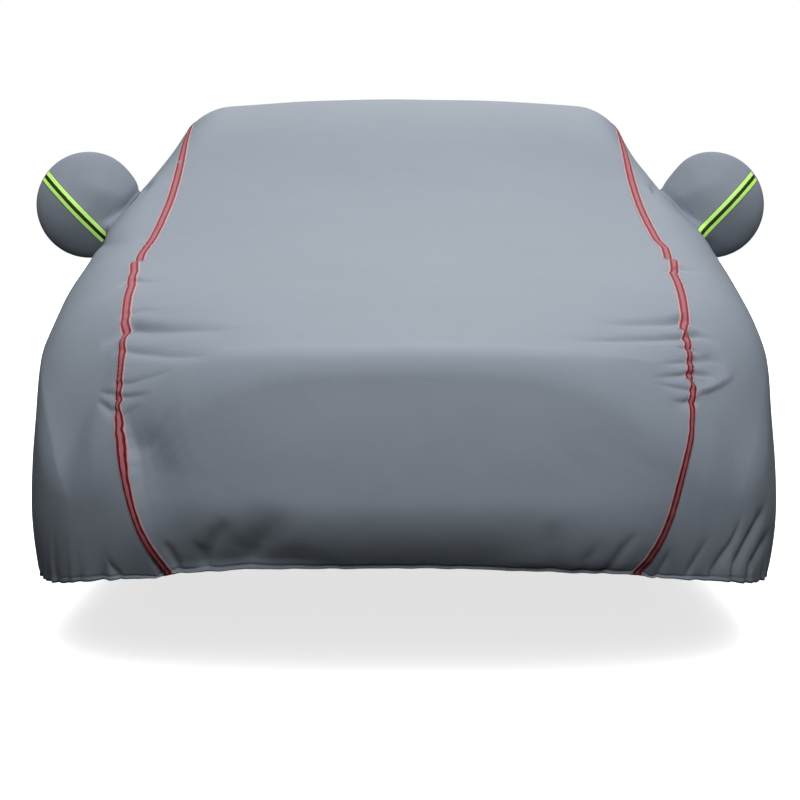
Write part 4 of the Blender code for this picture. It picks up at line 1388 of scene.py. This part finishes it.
class ClothSettings(bpy.types.PropertyGroup):
    thickness: length_property("Thickness", "Thickness of the cloth", 0.0020, 0.001, 0.003)
    weave_pitch: length_property("Weave pitch", "Width of one thread pair", 0.0011, 0.0005, 0.005)
    colour: colour_property("Colour", "Colour of the cloth", (0.285, 0.325, 0.380))
    roughness: FloatProperty(
        name="Roughness", description="Roughness of the coating", default=0.5, min=0.0, max=1.0)
    hem_thread: colour_property("Hem thread", "Colour of the hem's stitches", (0.62, 0.66, 0.70))
    hem_stitch_place: length_property("Hem stitch place", "Hem edge to the stitches", 0.0045, 0.002, 0.03)


class TapeSettings(bpy.types.PropertyGroup):
    width: length_property("Width", "Width of the tape", 0.0300, 0.008, 0.04)
    thickness: length_property("Thickness", "Thickness of the tape", 0.0010, 0.0005, 0.002)
    edge_width: length_property("Edge width", "Width of the pale edge", 0.0040, 0.0, 0.005)
    stitch_rows: length_property("Stitch rows", "Distance between the two rows", 0.0150, 0.004, 0.02)
    stitch_pitch: length_property("Stitch pitch", "Distance from stitch to stitch", 0.0056, 0.002, 0.01)
    colour: colour_property("Colour", "Colour of the tape", (0.50, 0.160, 0.185))
    edge_colour: colour_property("Edge colour", "Colour of the pale edge", (0.66, 0.47, 0.49))
    # Also the colour of the painted shade on the tape
    stitch_and_shade_colour: colour_property("Stitch colour", "Colour of the stitches", (0.115, 0.010, 0.016))


class StripSettings(bpy.types.PropertyGroup):
    width: length_property("Width", "Width of the strip", 0.033, 0.01, 0.06)
    middle_width: length_property("Middle width", "Width of the dark middle", 0.010, 0.0, 0.03)
    border_width: length_property("Border width", "Width of each dark edge", 0.0012, 0.0, 0.005)
    thickness: length_property("Thickness", "Thickness of the strip", 0.0010, 0.0005, 0.002)
    bright: colour_property("Bright bands", "Colour of the bright bands", (0.50, 0.86, 0.20))
    dark: colour_property("Dark middle", "Colour of the middle and the edges", (0.035, 0.06, 0.01))
    # Strength of the painted reflection that makes the bright bands glow
    glow: FloatProperty(
        name="Glow", description="Light thrown back by the bright bands", default=0.35, min=0.0, max=2.0)


class StageSettings(bpy.types.PropertyGroup):
    sky: FloatProperty(
        name="Sky", description="Brightness of the strip of light", default=20.0, min=0.0, max=90.0)
    fill: FloatProperty(
        name="Fill", description="Light from all round", default=0.0, min=0.0, max=5.0)
    floor_colour: colour_property("Floor", "Colour of the floor", (0.92, 0.92, 0.92))
    camera_distance: length_property("Camera distance", "From the cover's front", 5.0, 1.0, 50.0)
    camera_height: length_property("Camera height", "Above the ground", 1.0, 0.1, 10.0)


# ---------------------------------------------------------------- operators


MADE = {}  # materials that more than one operator uses


def stitches_on(lines, place_across, goal, pitch, stitch):
    """A row of stitches on laid cloth, where the places across reach the goal in each row."""
    points, normals = lines
    line = line_in_rows(points, place_across, goal)
    return stitch_run(line, line_in_rows(normals, place_across, goal), pitch, *stitch)


class COVER_OT_panels(bpy.types.Operator):
    """Lays the middle panel and both side panels and sews their hems"""

    bl_idname = "cover.panels"
    bl_label = "Panels"

    def execute(self, context):
        settings = context.scene.cover_cloth
        cloth = cover_cloth(settings)
        MADE["cloth"] = cloth
        yarn = thread("hem_thread", settings.hem_thread)
        inset = settings.hem_stitch_place
        laid = lay_middle()
        middle = build_sheet("middle_panel", laid, settings.thickness)
        place(middle, cloth, "cover_cloth", "centre_panel")
        ways = laid.marks[..., 1].T
        columns = laid.points.transpose(1, 0, 2), laid.normals.transpose(1, 0, 2)
        runs = [
            stitches_on(columns, ways, np.full(len(ways), target), HEM_STITCH_PITCH, HEM_STITCH)
            for target in (inset, CUT.length - inset)]
        hem = place(thread_object("middle_hem_stitches", runs), yarn, "cover_cloth")
        for side, name in SIDE_NAMES.items():
            laid, edge = lay_side(side)
            panel = build_sheet("side_cloth_" + name, laid, settings.thickness)
            place(panel, cloth, "cover_cloth", "side_panel_" + name)
            depth = np.minimum.accumulate(edge[:, ::-1], axis=1)
            rows = edge[:, 0] > inset
            lines = laid.points[rows][:, ::-1], laid.normals[rows][:, ::-1]
            goal = np.full(int(rows.sum()), inset)
            runs = [stitches_on(lines, depth[rows], goal, HEM_STITCH_PITCH, HEM_STITCH)]
            hem = place(thread_object("side_hem_stitches_" + name, runs), yarn, "cover_cloth")
        return {"FINISHED"}


def lay_tape(side, settings):
    """The tape over a seam, on the cloth of both panels."""
    ways = zone_rows(TAPE_ROWS, CUT.length)
    shares = np.array(TAPE_PROFILE)
    offsets = shares[:, 0] * settings.width / 2
    across = offsets[None] + tape_shift(ways, side)[:, None]
    half, shrink = seam_half_width(ways)[:, None], CUT.shrink(ways)[:, None]
    on_middle = CUT.middle_point(ways[:, None], side * (half + np.minimum(across, 0) * shrink))
    rows, along = CUT.side_rows(ways, side)
    on_side = spread(rows, along, over(across))
    plain = np.where((across < 0)[..., None], on_middle, on_side)
    normals = slope_of(cover_field, plain)
    edge = np.minimum(ways, CUT.length - ways)[:, None] + 0 * across
    height = cloth_height(ways[:, None], across, side, edge, 0 * across)
    height = height + settings.thickness + TAPE_LIFT + shares[None, :, 1]
    points = plain + normals * height[..., None]
    marks = np.stack([offsets[None] + 0 * across, ways[:, None] + 0 * across], axis=-1)
    return Laid(points, outward_normals(points, normals), grid_quads(*across.shape), marks)


def tape_shift(ways, side):
    """Where the tape was sewn a little beside the seam, with its jogs."""
    places, shifts = np.array(TAPE_LINES[side]).T
    return np.interp(ways, places, shifts)


class COVER_OT_tapes(bpy.types.Operator):
    """Sews the red tapes over both seams with two rows of stitches each"""

    bl_idname = "cover.tapes"
    bl_label = "Seam Tapes"

    def execute(self, context):
        settings = context.scene.cover_tape
        cloth = seam_tape_cloth(settings)
        yarn = thread("tape_thread", settings.stitch_and_shade_colour)
        for side, name in SIDE_NAMES.items():
            laid = lay_tape(side, settings)
            tape = build_sheet("tape_" + name, laid, settings.thickness)
            place(tape, cloth, "seam_tape", "seam_tape_" + name)
            lines, offsets = (laid.points, laid.normals), laid.marks[..., 0]
            runs = [
                stitches_on(lines, offsets, np.full(len(offsets), row), settings.stitch_pitch, TAPE_STITCH)
                for row in (-settings.stitch_rows / 2, settings.stitch_rows / 2)]
            stitches = place(thread_object("tape_stitches_" + name, runs), yarn, "seam_tape")
        return {"FINISHED"}


class COVER_OT_pockets(bpy.types.Operator):
    """Sews a mirror pocket of two halves on each side panel"""

    bl_idname = "cover.pockets"
    bl_label = "Mirror Pockets"

    def execute(self, context):
        settings = context.scene.cover_cloth
        for side, name in SIDE_NAMES.items():
            for facing, half in ((-1, "front"), (1, "back")):
                laid = lay_pocket(side, facing, POCKET_GRID)
                piece = build_sheet(f"pocket_{half}_{name}", laid, settings.thickness)
                place(piece, MADE["cloth"], "cover_cloth", f"mirror_pocket_{half}_{name}")
        return {"FINISHED"}


class COVER_OT_strips(bpy.types.Operator):
    """Sews the reflective strips across the pockets' fronts"""

    bl_idname = "cover.strips"
    bl_label = "Reflective Strips"

    def execute(self, context):
        settings = context.scene.cover_strip
        webbing = reflective_webbing(settings)
        along_u, along_v = math.cos(STRIP_TURN), math.sin(STRIP_TURN)
        shares = np.linspace(-0.5, 0.5, STRIP_COLUMNS)
        for side, name in SIDE_NAMES.items():
            offset = STRIP_OFFSET + shares * settings.width
            start = np.sqrt((STRIP_RIM_SHARE * POCKET_RADIUS) ** 2 - offset ** 2)
            t = (np.linspace(0, 1, STRIP_ROWS) ** STRIP_ROW_POWER)[:, None]
            along = start[None] + (STRIP_INNER_END[side] - start[None]) * t
            u = along * along_u + offset[None] * along_v
            v = along * along_v - offset[None] * along_u
            points, normals = surface_on_pocket(side, u, v)
            edge = STRIP_EDGE_DROP * (np.abs(shares)[None] > 0.49)
            points = points + normals * (settings.thickness + STRIP_LIFT - edge)[..., None]
            marks = np.stack([shares[None] * settings.width + 0 * u, along], axis=-1)
            laid = Laid(points, outward_normals(points, normals), grid_quads(*u.shape), marks)
            strip = build_sheet("strip_" + name, laid, settings.thickness)
            place(strip, webbing, "reflective_strip", "reflective_strip_" + name)
        return {"FINISHED"}


class COVER_OT_stage(bpy.types.Operator):
    """Sets the floor, the soft light and the camera"""

    bl_idname = "cover.stage"
    bl_label = "Stage"

    def execute(self, context):
        settings = context.scene.cover_stage
        ground = -ROOF_UNDERSIDE
        self.lay_floor(settings, ground)
        self.hang_backdrop()
        self.light(context, settings)
        camera = bpy.data.objects.new("camera", bpy.data.cameras.new("camera"))
        camera.data.sensor_width = SENSOR_MM
        camera.data.lens = VIEW_FOCUS / VIEW_SIZE * SENSOR_MM
        camera.location = (0.0, -LENGTH / 2 - settings.camera_distance, ground + settings.camera_height)
        camera.rotation_euler = (math.pi / 2 - VIEW_PITCH, 0.0, VIEW_YAW)
        camera.data.clip_end = VIEW_REACH
        context.scene.collection.objects.link(camera)
        context.scene.camera = camera
        context.scene.view_settings.view_transform = "Standard"
        return {"FINISHED"}

    def lay_floor(self, settings, ground):
        """A wide pale floor that fills the frame to its horizon."""
        signs = ((-1, -1), (1, -1), (1, 1), (-1, 1))
        corners = [(x * FLOOR_REACH, y * FLOOR_REACH, ground) for x, y in signs]
        mesh = bpy.data.meshes.new("floor")
        mesh.from_pydata(corners, [], [(0, 1, 2, 3)])
        floor = bpy.data.objects.new("floor", mesh)
        bpy.context.scene.collection.objects.link(floor)
        material, book = new_book("floor_paper")
        finish_surface(
            book, base_color=rgba(settings.floor_colour), roughness=0.9, specular_ior_level=0.1,
            emission_color=(1.0, 1.0, 1.0, 1.0), emission_strength=FLOOR_GLOW)
        floor.data.materials.append(material)
        floor.visible_diffuse = False
        floor.visible_glossy = False

    def hang_backdrop(self):
        """A white half-globe far away, seen by the camera only."""
        mesh = bpy.data.meshes.new("backdrop")
        turns, rises = np.linspace(0, 2 * math.pi, 65), np.linspace(BACKDROP_LOW, math.pi / 2, 33)
        turns, rises = np.meshgrid(turns, rises)
        flat = np.cos(rises)
        around = np.stack([np.cos(turns) * flat, np.sin(turns) * flat, np.sin(rises)], axis=-1)
        corners = around.reshape(-1, 3) * BACKDROP_REACH
        mesh.from_pydata(corners.tolist(), [], grid_quads(*turns.shape).tolist())
        backdrop = bpy.data.objects.new("backdrop", mesh)
        bpy.context.scene.collection.objects.link(backdrop)
        material, book = new_book("backdrop_paper")
        finish_surface(
            book, base_color=(0.0, 0.0, 0.0, 1.0), specular_ior_level=0.0,
            emission_color=(1.0, 1.0, 1.0, 1.0), emission_strength=1.0)
        mesh.materials.append(material)
        for item in ("visible_diffuse", "visible_glossy", "visible_transmission", "visible_shadow"):
            setattr(backdrop, item, False)

    def light(self, context, settings):
        """A long soft strip of light overhead, from before the cover to behind it."""
        world = bpy.data.worlds.new("dome")
        world.use_nodes = True
        context.scene.world = world
        book = Book(world.node_tree)
        across, back, up = book.parts_of(book.node("ShaderNodeTexCoord", {}, {}, output=0))
        aside = (across - STRIP_LIGHT_PLACE) * (1 / STRIP_LIGHT_WIDTH)
        band = (aside * aside * -1.0).power_of_e()
        rise = book.ramp(up, LIGHT_RISE, (0.0, 1.0), smooth=True)
        behind = book.ramp(back, LIGHT_BACK, (1.0, LIGHT_BEHIND), smooth=True)
        strength = band * rise * behind * (1.0 - up * LIGHT_FALL) * settings.sky + settings.fill
        background = book.node(
            "ShaderNodeBackground", {}, {"Color": (1.0, 1.0, 1.0, 1.0), "Strength": strength})
        book.node("ShaderNodeOutputWorld", {}, {"Surface": background})


class COVER_PT_panel(bpy.types.Panel):
    """Settings and pieces of the car cover"""

    bl_label = "Car Cover"
    bl_idname = "COVER_PT_panel"
    bl_space_type = "VIEW_3D"
    bl_region_type = "UI"
    bl_category = "Car Cover"

    def draw(self, context):
        for holder, operators in PARTS:
            box = self.layout.box()
            settings = getattr(context.scene, holder)
            for name in settings.__annotations__:
                box.prop(settings, name)
            for operator in operators:
                box.operator(operator)


PARTS = (
    ("cover_cloth", ("cover.panels", "cover.pockets")),
    ("cover_tape", ("cover.tapes",)),
    ("cover_strip", ("cover.strips",)),
    ("cover_stage", ("cover.stage",)),
)
SETTINGS = {
    "cover_cloth": ClothSettings,
    "cover_tape": TapeSettings,
    "cover_strip": StripSettings,
    "cover_stage": StageSettings,
}
OPERATORS = (COVER_OT_panels, COVER_OT_tapes, COVER_OT_pockets, COVER_OT_strips, COVER_OT_stage)


def register():
    for holder, group in SETTINGS.items():
        bpy.utils.register_class(group)
        setattr(bpy.types.Scene, holder, PointerProperty(type=group))
    for item in OPERATORS + (COVER_PT_panel,):
        bpy.utils.register_class(item)


def unregister():
    for item in (COVER_PT_panel,) + OPERATORS[::-1]:
        bpy.utils.unregister_class(item)
    for holder, group in SETTINGS.items():
        delattr(bpy.types.Scene, holder)
        bpy.utils.unregister_class(group)


def main():
    register()
    bpy.ops.cover.panels()
    bpy.ops.cover.tapes()
    bpy.ops.cover.pockets()
    bpy.ops.cover.strips()
    bpy.ops.cover.stage()


if __name__ == "__main__":
    main()
